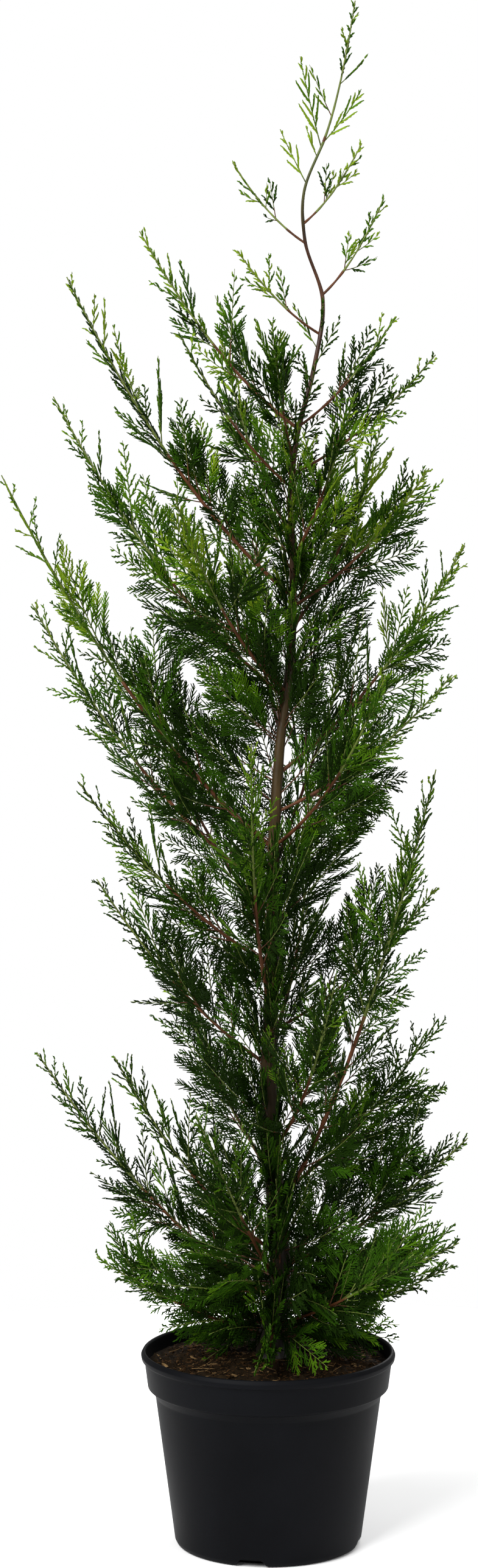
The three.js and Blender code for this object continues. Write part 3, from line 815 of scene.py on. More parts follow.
def shortened(twigs, foot, reach):
    """Twigs tried at shorter and shorter lengths until the tip keeps to the reach and clear of the pot."""
    parts_tried = (1.0, 0.84, 0.7, 0.58, 0.46, 0.3)
    whole = twigs.length.copy()
    done = np.zeros(len(whole), dtype=bool)
    for part in parts_tried:
        twigs.length = np.where(done, twigs.length, whole * part)
        tip = twigs.tips()
        near = np.hypot(tip[:, 0] - foot[:, 0], tip[:, 1] - foot[:, 1]) < reach
        done |= near & clear_of_pot(tip) & (tip[:, 2] < CAD_TOP)
    return twigs.pick(done)


def grown(start, heading, plane, size, lift, outer, seed, habit):
    """Twigs that bend by a lift and by chance, and whose own shoots grow in a plane turned by chance."""
    across = turned(square_to(heading, plane), heading, np.radians(habit.plane) * swing(seed, 3))
    bend = lift + habit.bend * scatter(seed, 5, 6, 7)
    return Shoots(start, heading, across, size, bend, outer, chance(seed, 8))


def limb_twigs(limbs, sizes):
    """Twigs along the limbs, turned round them by the golden angle and kept to the limb's reach.

    Towards a limb's tip they pack closer, lean less, shorten and lift less. Those underneath are shorter.
    """
    habit = Habit(plane=80.0, bend=0.18)
    first, run, packing = 0.1, 0.885, 0.68
    turn_of_a_limb = 70.0
    root_lean, lean_loss, lean_swing = 1.12, 0.22, np.radians(13.0)
    least_spread, spread_chance, underside_loss = 0.5, 0.65, 0.55
    root_lift, lift_loss = 0.45, 0.3
    least_reach, spare_reach = 60 * MM, 6 * MM
    gap = sizes.twig_spacing * by_height(limbs.root[:, 2], TWIG_GAP)
    owner, order, place = sites(limbs.length, gap, 0.0, 1.0)
    place = first + run * place**packing
    seed = limbs.seed[owner] * SEEDS_OF_A_LIMB + order
    tangent = limbs.along(owner, place)
    around = np.radians(GOLDEN_TURN * order + turn_of_a_limb * limbs.seed[owner])
    outward = turned(square_to(tangent, np.cross(tangent, UP)), tangent, around)
    lean = sizes.twig_angle * (root_lean - lean_loss * place**2) + lean_swing * swing(seed, 2)
    heading = leaning(tangent, outward, lean)
    longest = np.minimum(sizes.twig_longest, sizes.twig_share * limbs.length[owner])
    spread = (1.0 - place) ** sizes.twig_fade * (least_spread + spread_chance * chance(seed, 4))
    spread *= 1.0 - underside_loss * np.clip(-outward[:, 2], 0.0, 1.0)
    size = np.maximum(sizes.twig_shortest, longest * spread)
    lift = (root_lift - lift_loss * place)[:, None] * UP
    twigs = grown(limbs.at(owner, place), heading, tangent, size, lift, place, seed, habit)
    reach = np.maximum(limbs.reach[owner], least_reach)
    return shortened(twigs, limbs.root[owner], reach + spare_reach)


def limb_ends(limbs, clad):
    """The outer part of each limb as a twig of its own: a parabola that starts and ends with that part."""
    which = np.arange(len(limbs.seed))
    first = np.full(len(which), clad)
    start = limbs.at(which, first)
    size = np.linalg.norm(limbs.tip - start, axis=-1)
    heading = limbs.along(which, first)
    bend = 2.0 * ((limbs.tip - start) / size[:, None] - heading)
    across = turned(square_to(heading, UP), heading, np.pi * chance(limbs.seed, 9))
    return Shoots(start, heading, across, size, bend, first, chance(limbs.seed, 8))


def inner_twigs(bark):
    """Small twigs straight from the trunk between the limbs, which fill the crown's middle.

    Those of the bands turn round the trunk by the golden angle. Shorter ones cover its front, and one stretch
    of the front stays bare. A band is its lowest and highest twig and the step between two, in metres.
    """
    habit = Habit(plane=50.0, bend=0.2)
    bands = ((0.245, 0.33, 0.0017), (0.33, 0.62, 0.022), (0.62, 1.3, 0.017), (1.3, 1.44, 0.018))
    cover_band, cover_facing, cover_spread = (0.33, 1.3, 0.011), 268.0, 48.0
    cover_lean, cover_lean_swing, cover_size = 38.0, 26.0, 0.75
    lean_swing = 16.0
    least_size, size_chance = 0.6, 0.5
    bare_foot, bare_top, bare_facing, bare_width = 0.825, 0.965, 262.0, 0.3
    depth_in_bark = 0.7
    reach = 0.2
    even = np.concatenate([np.arange(*band) for band in bands])
    cover = np.arange(*cover_band)
    cover_around = np.radians(cover_facing + cover_spread * swing(np.arange(len(cover)), 14))
    height = np.concatenate([even, cover])
    around = np.concatenate([np.radians(GOLDEN_TURN) * np.arange(len(even)), cover_around])
    covering = np.arange(len(height)) >= len(even)
    in_front = np.cos(around - np.radians(bare_facing)) > bare_width
    kept = ~((height > bare_foot) & (height < bare_top) & in_front)
    height, around, covering = height[kept], around[kept], covering[kept]
    seed = INNER_TWIG_SEEDS + np.arange(len(height))
    out = compass(around)
    lean = np.where(covering, cover_lean, by_height(height, INNER_TWIG_LEAN))
    lean = np.radians(lean + np.where(covering, cover_lean_swing, lean_swing) * swing(seed, 2))
    heading = leaning(UP, out, lean)
    size = by_height(height, INNER_TWIG_SIZE)
    size *= np.where(covering, cover_size, 1.0) * (least_size + size_chance * chance(seed, 4))
    lift = by_height(height, INNER_TWIG_LIFT)[:, None] * UP
    start = trunk_at(height) + out * (depth_in_bark * trunk_radius(height, bark))[:, None]
    outer = by_height(height, INNER_TWIG_OUTER)
    twigs = grown(start, heading, UP, size, lift, outer, seed, habit)
    return shortened(twigs, trunk_at(height), reach)


def filling_twigs(limbs, names):
    """Owners and rows, like the table's, of the long twigs that fill the limbs in front and behind."""
    heading_swing, least_climb, climb_chance = 30.0, 15.0, 60.0
    root_length, length_loss = 140.0, 70.0
    facing = [k for k, name in enumerate(names) if name.startswith(("front", "back"))]
    owner = np.repeat(facing, len(FILLING_SHARES))
    place = np.tile(FILLING_SHARES, len(facing))
    seed = FILLING_SEEDS + np.arange(len(owner))
    heading = np.degrees(limbs.azimuth[owner]) + heading_swing * swing(seed, 1)
    climb = least_climb + climb_chance * chance(seed, 2)
    return owner, np.stack([place, heading, climb, root_length - length_loss * place], axis=-1)


def long_twigs(limbs):
    """The long twigs of the tables and the filling ones, turning up a little from where they start."""
    habit = Habit(plane=45.0, bend=0.12)
    turning_up = 0.3
    names = [limb[0] for limb in LIMBS]
    owner = [names.index(name) for name, rows in LIMB_TWIGS.items() for _ in rows]
    on_limbs = np.array([row for rows in LIMB_TWIGS.values() for row in rows])
    bearer, filling = filling_twigs(limbs, names)
    owner = np.concatenate([owner, bearer])
    on_limbs = np.concatenate([on_limbs, filling])
    on_trunk = np.array(TRUNK_TWIGS, dtype=float)
    height = on_trunk[:, 0] * MM
    start = np.concatenate([trunk_at(height), limbs.at(owner, on_limbs[:, 0])])
    outer = np.concatenate([by_height(height, LONG_TWIG_OUTER), on_limbs[:, 0]])
    around, climb, size = np.concatenate([on_trunk[:, 1:], on_limbs[:, 1:]]).T
    seed = LONG_TWIG_SEEDS + np.arange(len(size))
    heading = leaning(compass(np.radians(around)), UP, np.radians(climb))
    twigs = grown(start, heading, UP, size * MM, turning_up * (UP - heading), outer, seed, habit)
    return twigs.pick(clear_of_pot(twigs.tips()))


def youth(outer):
    """How young a shoot is by its place in the crown: 0 for the inner crown to 1 at the rim."""
    rim_start, rim_width = 0.45, 0.5
    return np.clip((outer - rim_start) / rim_width, 0.0, 1.0)


def side_shoots(parents, rule):
    """Shoots left and right by turns along their parents, in the parent's own plane but for a small tilt.

    A shoot's length is a part of its parent's, swelling from the root and fading to the tip. Towards the
    crown's rim shoots are shorter and lie closer to their parent. Each shoot's parent is given with it.
    """
    first, last = 0.1, 0.97
    outward_gain = 0.5
    lean_swing, top_lean = np.radians(8.0), 0.75
    root_swell, swell_run = 0.45, 0.3
    least_part, part_chance, young_cut = 0.65, 0.7, 0.3
    bend_swing = 0.12
    spare_top = 20 * MM
    gap = rule.spacing * (1.0 - rule.crowd * youth(parents.outer))
    gap *= np.interp(parents.start[:, 2], TOP_HEIGHTS, (1.0, rule.top_gap))
    owner, order, place = sites(parents.length, gap, first, last)
    seed = rule.seeds + np.arange(len(owner))
    height = parents.start[owner, 2]
    outer = 1.0 - (1.0 - parents.outer[owner]) * (1.0 - outward_gain * place)
    young = youth(outer)
    tangent = parents.along(owner, place)
    across = square_to(tangent, parents.across[owner])
    hand = np.where(order % 2, 1.0, -1.0)[:, None]
    tilts = (rule.tilt * swing(seed, 1))[:, None]
    outward = unit(hand * np.cos(tilts) * across + np.sin(tilts) * np.cross(tangent, across))
    lean = rule.lean * (1.0 - rule.hug * young) + lean_swing * swing(seed, 2)
    lean *= np.interp(height, TOP_HEIGHTS, (1.0, top_lean))
    heading = leaning(tangent, outward, lean)
    swell = np.minimum(1.0, root_swell + place / swell_run)
    part = rule.part * (1.0 - rule.shy * young)
    part *= np.interp(height, TOP_HEIGHTS, (1.0, rule.top_part))
    luck = least_part + part_chance * chance(seed, 3)
    size = part * parents.length[owner] * swell * (1.0 - place) ** rule.fade * luck
    size = np.clip(size, rule.shortest * (1.0 - young_cut * young), rule.longest)
    bend = rule.curl * (tangent - heading) + bend_swing * scatter(seed, 4, 5, 6)
    start = parents.at(owner, place)
    shoots = Shoots(start, heading, square_to(heading, tangent), size, bend, outer, parents.turn[owner])
    tip = shoots.tips()
    kept = clear_of_pot(tip) & (tip[:, 2] < CAD_TOP + spare_top)
    return shoots.pick(kept), owner[kept]


def stout(shoots):
    """How much stouter shoots are towards the leader."""
    return by_height(shoots.start[:, 2], STOUTNESS)


def threads(shoots, width):
    """Closed slim wedges along shoots: a three-sided root that runs to a narrow edge across the tip."""
    widest, depth, tip_share = 0.6, 0.27, 0.26
    count = len(shoots.length)
    lift = np.cross(shoots.heading, shoots.across)
    tangent = shoots.along(slice(None), np.ones(count))
    width = np.minimum(width, widest * shoots.length)[:, None]
    wide = 0.5 * width * shoots.across
    low = -depth * width * lift
    tip_side = tip_share * width * square_to(tangent, shoots.across)
    root = [shoots.start + wide + low, shoots.start - 2.0 * low, shoots.start - wide + low]
    tips = shoots.tips()
    points = np.stack([*root, tips + tip_side, tips - tip_side], axis=1)
    faces = np.array([(0, 1, 2), (0, 3, 1), (1, 3, 4), (1, 4, 2), (0, 2, 4), (0, 4, 3)])
    return points, [copies(faces, points.shape[1], count)]


def reeds(shoots, width, sides=3):
    """Closed slim tubes along shoots, even in width up to a pointed end."""
    places = np.array((0.0, 0.45, 0.84, 1.0))
    shares = np.array((0.8, 1.0, 0.85, 0.16))
    count = len(shoots.length)
    middles = shoots.at(np.arange(count)[:, None], np.broadcast_to(places, (count, len(places))))
    radii = 0.5 * np.broadcast_to(width, (count,))[:, None] * shares
    return tubes(middles, radii, sides)


# Operators, one for each piece or group of like pieces


class CYPRESS_OT_pot(bpy.types.Operator):
    """Moulds the pot: a profile turned round, with its edges softened and drain notches raised in its foot"""

    bl_idname = "cypress.pot"
    bl_label = "Pot"

    def profile(self, pot):
        """Closed section from the underside's middle, up the outside, over the lip and down the inside.

        The lip's rounding is given by steps in from its radius and down from its top, in millimetres.
        """
        lip_round = ((0.0, 5.0), (2.4, 0.6), (4.6, 0.0), (6.0, 2.5))
        lip_bevel, step_bevel = (0.8 * MM, 2 * MM), (4 * MM, 2 * MM)
        foot_draft = 0.5 * MM
        step_top = pot.height - pot.collar_drop
        step_foot = step_top - pot.step
        lip_foot = pot.height - pot.lip_height
        collar_top = pot.lip_radius - pot.lip_reach
        corner = pot.foot_corner * (1.0 - math.sqrt(0.5))
        lip = [(pot.lip_radius - inwards * MM, pot.height - down * MM) for inwards, down in lip_round]
        outside = [
            (0.0, 0.0),
            (pot.foot_radius - pot.foot_corner, 0.0),
            (pot.foot_radius - corner, corner),
            (pot.foot_radius + foot_draft, pot.foot_corner),
            (pot.body_radius, step_foot),
            (pot.collar_radius - step_bevel[0], step_top - step_bevel[1]),
            (pot.collar_radius, step_top),
            (collar_top, lip_foot),
            (pot.lip_radius - lip_bevel[0], lip_foot + lip_bevel[1]),
            *lip[:-1],
        ]
        inside = [
            lip[-1],
            (collar_top - pot.wall, lip_foot),
            (pot.collar_radius - pot.wall, step_top),
            (pot.body_radius - pot.wall, step_foot + pot.wall),
            (pot.foot_radius - pot.wall, pot.floor + pot.foot_corner),
            (pot.foot_radius - pot.foot_corner, pot.floor),
            (0.0, pot.floor),
        ]
        return np.array(outside + inside), len(outside)

    def softened(self, points, softness):
        """Polyline resampled finely, smoothed by a running bell-shaped mean, and thinned where straight.

        Gives the new points, their places along the line, and the places of the old points.
        """
        pitch, bell_reach = 0.4 * MM, 4
        longest_step, sharpest_step = 6 * MM, math.radians(7.0)
        run = np.concatenate([[0.0], np.cumsum(np.linalg.norm(np.diff(points, axis=0), axis=1))])
        fine = np.arange(0.0, run[-1], pitch)
        line = np.stack([np.interp(fine, run, points[:, k]) for k in (0, 1)], axis=-1)
        reach = int(bell_reach * softness / pitch)
        bell = np.exp(-0.5 * (np.arange(-reach, reach + 1) * pitch / softness) ** 2)
        before = 2 * line[0] - line[reach:0:-1]
        beyond = 2 * line[-1] - line[-2 : -reach - 2 : -1]
        padded = np.concatenate([before, line, beyond])
        smooth = np.stack([np.convolve(padded[:, k], bell / bell.sum(), "valid") for k in (0, 1)], axis=-1)
        course = np.unwrap(np.arctan2(*np.gradient(smooth, axis=0).T))
        cost = np.cumsum(pitch / longest_step + np.abs(np.gradient(course)) / sharpest_step)
        picks = np.unique(np.searchsorted(cost, np.arange(cost[0], cost[-1], 1.0)))
        rows = np.concatenate([[0], picks[1:-1], [len(smooth) - 1]])
        return smooth[rows], fine[rows], run

    def notched(self, pot, radius, height, around, inner):
        """Heights of the pot's points, raised over each drain notch: a ramp across times a step inwards."""
        step_width = 2 * MM
        pitch = 2.0 * np.pi / pot.notch_count
        off = (around - pot.notch_turn + 0.5 * pitch) % pitch - 0.5 * pitch
        sideways = np.abs(radius * off)
        ramp_width = 0.5 * (pot.notch_width - pot.notch_top)
        across = np.clip((0.5 * pot.notch_width - sideways) / ramp_width, 0.0, 1.0)
        inwards = np.clip((radius - pot.foot_radius + pot.notch_depth) / step_width, 0.0, 1.0)
        notch = pot.notch_height * across * inwards
        lift = np.where(notch > 0.0, notch + np.where(inner, pot.wall, 0.0)[:, None], 0.0)
        return np.where(height < pot.notch_height + pot.wall, np.maximum(height, lift), height)

    def plastic(self, pot):
        """Near-black satin plastic: fine moulded grain, with smudges that are a little paler and duller."""
        finish = Finish("satin_pot_plastic", pot.plastic, roughness=0.5, specular=0.052)
        smudge = finish.noise(scale=9.0, detail=6.0)
        stops = ((0.4, tuple(pot.plastic)), (0.75, scaled(pot.plastic, 1.7)))
        finish.paint(finish.ramp(smudge, stops))
        finish.roughen(smudge, low=0.42, high=0.62)
        finish.emboss(finish.noise(scale=1400.0, detail=2.0), height=0.00012)
        return finish.material

    def execute(self, context):
        pot = context.scene.cypress_pot
        section, outside = self.profile(pot)
        line, place, run = self.softened(section, pot.softness)
        inner = place > run[outside]
        rim = line[1:-1]
        around = circle(pot.around)
        radius = np.broadcast_to(rim[:, :1], (len(rim), pot.around))
        level = np.broadcast_to(rim[:, 1:], radius.shape)
        height = self.notched(pot, radius, level, around, inner[1:-1])
        rows = np.stack([*polar(radius, around), height], axis=-1)
        shell = turned_shell(rows, line[0, 1], line[-1, 1])
        put("pot_shell", [shell], self.plastic(pot), ("pot",))
        return {"FINISHED"}


class CYPRESS_OT_compost(bpy.types.Operator):
    """Fills the pot: a lumpy bed of compost with bark chips, crumbs and fibres"""

    bl_idname = "cypress.compost"
    bl_label = "Compost"

    def level(self, soil, pot_top, x, y):
        """Height of the bed: a low crown towards the trunk with clods of three sizes, fading at the wall."""
        crown_power = 1.6
        wall_strip, wall_clods = 0.05, 0.15
        clod_layers = ((1.0, 0.03, 3), (0.6, 0.011, 4), (0.4, 0.005, 5))
        spread = np.clip(np.hypot(x, y) / soil.radius, 0.0, 1.0)
        base = pot_top - soil.drop + soil.crown * (1.0 - spread**crown_power)
        clods = layered_ripples(np.stack([x, y, np.zeros_like(x)], axis=-1), clod_layers)
        return base + soil.clods * 0.5 * clods * np.clip((1.0 - spread) / wall_strip, wall_clods, 1.0)

    def bed(self, soil, pot_top, sides=220, rings=73):
        """Top as a polar grid of heights, closed by a straight side and a flat underside."""
        taper = 0.975
        around = circle(sides)
        shares = np.linspace(0.0, 1.0, rings + 1)[1:]
        x, y = polar(soil.radius * shares[:, None] * np.ones_like(around), around)
        top = np.stack([x, y, self.level(soil, pot_top, x, y)], axis=-1)[::-1]
        low = pot_top - soil.drop - soil.depth
        under = top[:1] * (taper, taper, 0.0) + (0.0, 0.0, low)
        middle = self.level(soil, pot_top, np.zeros(1), np.zeros(1))[0]
        return turned_shell(np.concatenate([under, top]), low, middle)

    def scattered(self, soil, pot_top, count, seeds):
        """Places spread evenly over the bed by chance, and a repeatable seed for each."""
        wall_margin = 8 * MM
        seed = seeds + np.arange(count)
        spread = (soil.radius - wall_margin) * np.sqrt(chance(seed, 1))
        x, y = polar(spread, 2.0 * np.pi * chance(seed, 2))
        return np.stack([x, y, self.level(soil, pot_top, x, y)], axis=-1), seed

    def chips(self, soil, pot_top, count, seeds, longest):
        """Chips and crumbs: boxes with every corner moved by chance, laid on the bed and a little tipped.

        They narrow to one end, and most are much shorter than the longest.
        """
        narrowing, wobble, tipping, proud = 0.3, 0.16, 0.35, 0.2
        least_run, run_chance = 0.3, 0.7
        least_breadth, breadth_chance = 0.18, 0.3
        least_thickness, thickness_chance = 0.08, 0.14
        place, seed = self.scattered(soil, pot_top, count, seeds)
        run = longest * (least_run + run_chance * chance(seed, 3) ** 2)
        breadth = run * (least_breadth + breadth_chance * chance(seed, 4))
        thickness = run * (least_thickness + thickness_chance * chance(seed, 5))
        size = np.stack([run, breadth, thickness], axis=-1)
        corner = np.array([(i & 1, i >> 1 & 1, i >> 2) for i in range(8)]) - 0.5
        moved = scatter(seed[:, None] * 8 + np.arange(8), 6, 7, 8)
        local = (corner * (1.0 - narrowing * (corner[:, :1] > 0)) + wobble * moved) * size[:, None]
        turn, tip = 2.0 * np.pi * chance(seed, 9), tipping * swing(seed, 10)
        along = np.stack([*polar(np.cos(tip), turn), np.sin(tip)], axis=-1)
        side = crosswise(turn)
        axes = np.stack([along, side, np.cross(along, side)], axis=1)
        points = place[:, None] + np.einsum("nij,njk->nik", local, axes) + proud * size[:, None, 2:] * UP
        quads = np.array([(0, 2, 3, 1), (4, 5, 7, 6), (0, 1, 5, 4), (2, 6, 7, 3), (0, 4, 6, 2), (1, 3, 7, 5)])
        return points, [copies(quads, 8, count)]

    def fibres(self, soil, pot_top):
        """Fibres: thin bent tubes that lie on the bed."""
        width, proud = 0.7 * MM, 0.6 * MM
        least_run, run_chance = 0.008, 0.02
        tipping, bending = 0.25, 1.2
        place, seed = self.scattered(soil, pot_top, soil.fibres, FIBRE_SEEDS)
        turn = 2.0 * np.pi * chance(seed, 3)
        heading = np.stack([np.cos(turn), np.sin(turn), tipping * swing(seed, 4)], axis=-1)
        side = crosswise(turn)
        run = least_run + run_chance * chance(seed, 5) ** 2
        bend = side * (bending * swing(seed, 6))[:, None]
        zero = np.zeros(len(seed))
        start = place - heading * (0.5 * run)[:, None] + UP * proud
        return reeds(Shoots(start, heading, side, run, bend, zero, zero), width)

    def execute(self, context):
        soil = context.scene.cypress_compost
        pot_top = context.scene.cypress_pot.height
        chip_longest, dry_chip_longest, crumb_longest = 0.009, 0.011, 0.0055
        chips_to_a_dry_one = 6
        earth = mottled("moist_compost", soil.dark, 0.65, 120.0, roughness=0.85, specular=0.08, bump=0.0012)
        bark = mottled("bark_chips", soil.chip, 0.5, 160.0, roughness=0.85, specular=0.08, bump=0.0004)
        pale = mottled("dry_chips", soil.pale, 0.45, 160.0, roughness=0.85, specular=0.1, bump=0.0003)
        put("compost_bed", [self.bed(soil, pot_top)], earth, ("compost",))
        chips = self.chips(soil, pot_top, soil.chips, CHIP_SEEDS, chip_longest)
        bark_crumbs = self.chips(soil, pot_top, soil.crumbs, BARK_CRUMB_SEEDS, crumb_longest)
        put("compost_chips", [chips, bark_crumbs], bark, smooth=False)
        earth_crumbs = self.chips(soil, pot_top, soil.crumbs, EARTH_CRUMB_SEEDS, crumb_longest)
        put("compost_crumbs", [earth_crumbs], earth, smooth=False)
        dry_count = soil.chips // chips_to_a_dry_one
        dry_chips = self.chips(soil, pot_top, dry_count, DRY_CHIP_SEEDS, dry_chip_longest)
        put("compost_dry_chips", [dry_chips, self.fibres(soil, pot_top)], pale, smooth=False)
        return {"FINISHED"}


class CYPRESS_OT_bark(bpy.types.Operator):
    """Grows the trunk and the limbs with relief in their bark"""

    bl_idname = "cypress.bark"
    bl_label = "Trunk and limbs"

    def trunk(self, bark, limbs, sides=40):
        """Tube along the trunk's line: its radius, furrows that run up it, and swellings where limbs leave.

        A swelling is a bell in height and in turn, a little over the limb's root.
        """
        flare_top, flare_rows, rows = 0.3, 60, 420
        furrow_radius, furrow_stretch = 12 * MM, 0.08
        furrow_layers = ((1.0, 0.006, 21), (0.6, 0.0028, 22))
        swelling_rise, swelling_height, swelling_turn, least_swelling = 2 * MM, 7 * MM, 0.7, 0.25
        foot = np.linspace(TRUNK_FOOT, flare_top, flare_rows)
        heights = np.concatenate([foot, np.linspace(flare_top, TRUNK_TIP, rows)[1:]])
        around = circle(sides)
        z = np.broadcast_to(heights[:, None], (len(heights), sides))
        radius = trunk_radius(z, bark)
        wall = np.stack(np.broadcast_arrays(*polar(furrow_radius, around), furrow_stretch * z), axis=-1)
        furrows = layered_ripples(wall, furrow_layers)
        radius = radius + bark.relief * 0.5 * furrows * np.minimum(1.0, radius / bark.foot_radius)
        off = np.angle(np.exp(1j * (around[None, :, None] - limbs.azimuth)))
        gap = (z[..., None] - limbs.root[:, 2] - swelling_rise) / swelling_height
        swell = np.exp(-(gap**2) - (off / swelling_turn) ** 2).sum(axis=-1)
        radius = radius + bark.collar * swell * np.clip(radius / bark.foot_radius, least_swelling, 1.0)
        return upright_tube(trunk_at(heights), radius, around)

    def bark_by_height(self, bark, leaf):
        """Satin trunk bark in patches: dark at the foot, then olive-brown, red-brown and green at the tip."""
        old, young = tuple(bark.trunk_colour), tuple(leaf.stem_green)
        red = scaled(bark.limb_colour, 0.75)
        # The two lowest stops make the trunk darker towards its foot.
        colours_by_height = (
            (0.18, scaled(old, 0.25)),
            (0.32, scaled(old, 0.5)),
            (0.5, old),
            (0.64, old),
            (0.8, red),
            (0.93, red),
            (0.99, young),
        )
        shading = ((0.32, (0.25, 0.23, 0.2)), (0.5, (0.6, 0.6, 0.6)), (0.68, (1.0, 1.0, 1.0)))
        finish = Finish("trunk_bark", old, roughness=0.4, specular=0.25)
        axes = finish.nodes.new("ShaderNodeSeparateXYZ")
        finish.link(finish.place, axes.inputs["Vector"])
        level = finish.span(axes.outputs["Z"], {"From Max": float(TRUNK_TIP)})
        patches = finish.noise(scale=55.0, detail=5.0, stretch=(1.0, 1.0, 0.35))
        mix = finish.nodes.new("ShaderNodeMix")
        mix.data_type = "RGBA"
        mix.blend_type = "MULTIPLY"
        mix.inputs["Factor"].default_value = 1.0
        finish.link(finish.ramp(level, colours_by_height), mix.inputs["A"])
        finish.link(finish.ramp(patches, shading), mix.inputs["B"])
        finish.paint(mix.outputs["Result"])
        finish.roughen(patches, low=0.3, high=0.5)
        finish.emboss(finish.noise(scale=320.0, detail=3.0, stretch=(1.0, 1.0, 0.3)), height=0.0004)
        return finish.material

    def stretch(self, bark, limbs, first, last, rows, sides):
        """Limb tubes between two shares of their length, with small uneven swellings."""
        swelling, swelling_length, seed = 0.1, 0.012, 31
        t = first + (last - first) * np.linspace(0.0, 1.0, rows)
        which = np.arange(len(limbs.seed))[:, None]
        middles = limbs.at(which, t)
        radii = limbs.radius(which, t, bark)
        return tubes(middles, radii * (1.0 + swelling * ripples(middles, swelling_length, seed)), sides)

    def execute(self, context):
        bark = context.scene.cypress_bark
        leaf = context.scene.cypress_foliage
        limbs = Limbs()
        overlap = 0.02
        smooth_bark = self.bark_by_height(bark, leaf)
        red = bark.limb_colour
        red_bark = mottled("limb_bark", red, 0.4, 70.0, roughness=0.5, specular=0.15, bump=0.0003)
        green = mottled("young_stem", leaf.stem_green, 0.3, 70.0, roughness=0.55, specular=0.3, bump=0.0002)
        put("trunk_bark", [self.trunk(bark, limbs)], smooth_bark, ("trunk",))
        boughs = [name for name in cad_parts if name.startswith("bough_")]
        brown = by_height(limbs.root[:, 2], BROWN_SHARE)[:, None]
        inner_parts = self.stretch(bark, limbs, 0.0, brown, rows=40, sides=10)
        put("limbs", [inner_parts], red_bark, boughs)
        outer_parts = self.stretch(bark, limbs, brown - overlap, 1.0, rows=24, sides=7)
        put("limb_ends", [outer_parts], green)
        return {"FINISHED"}


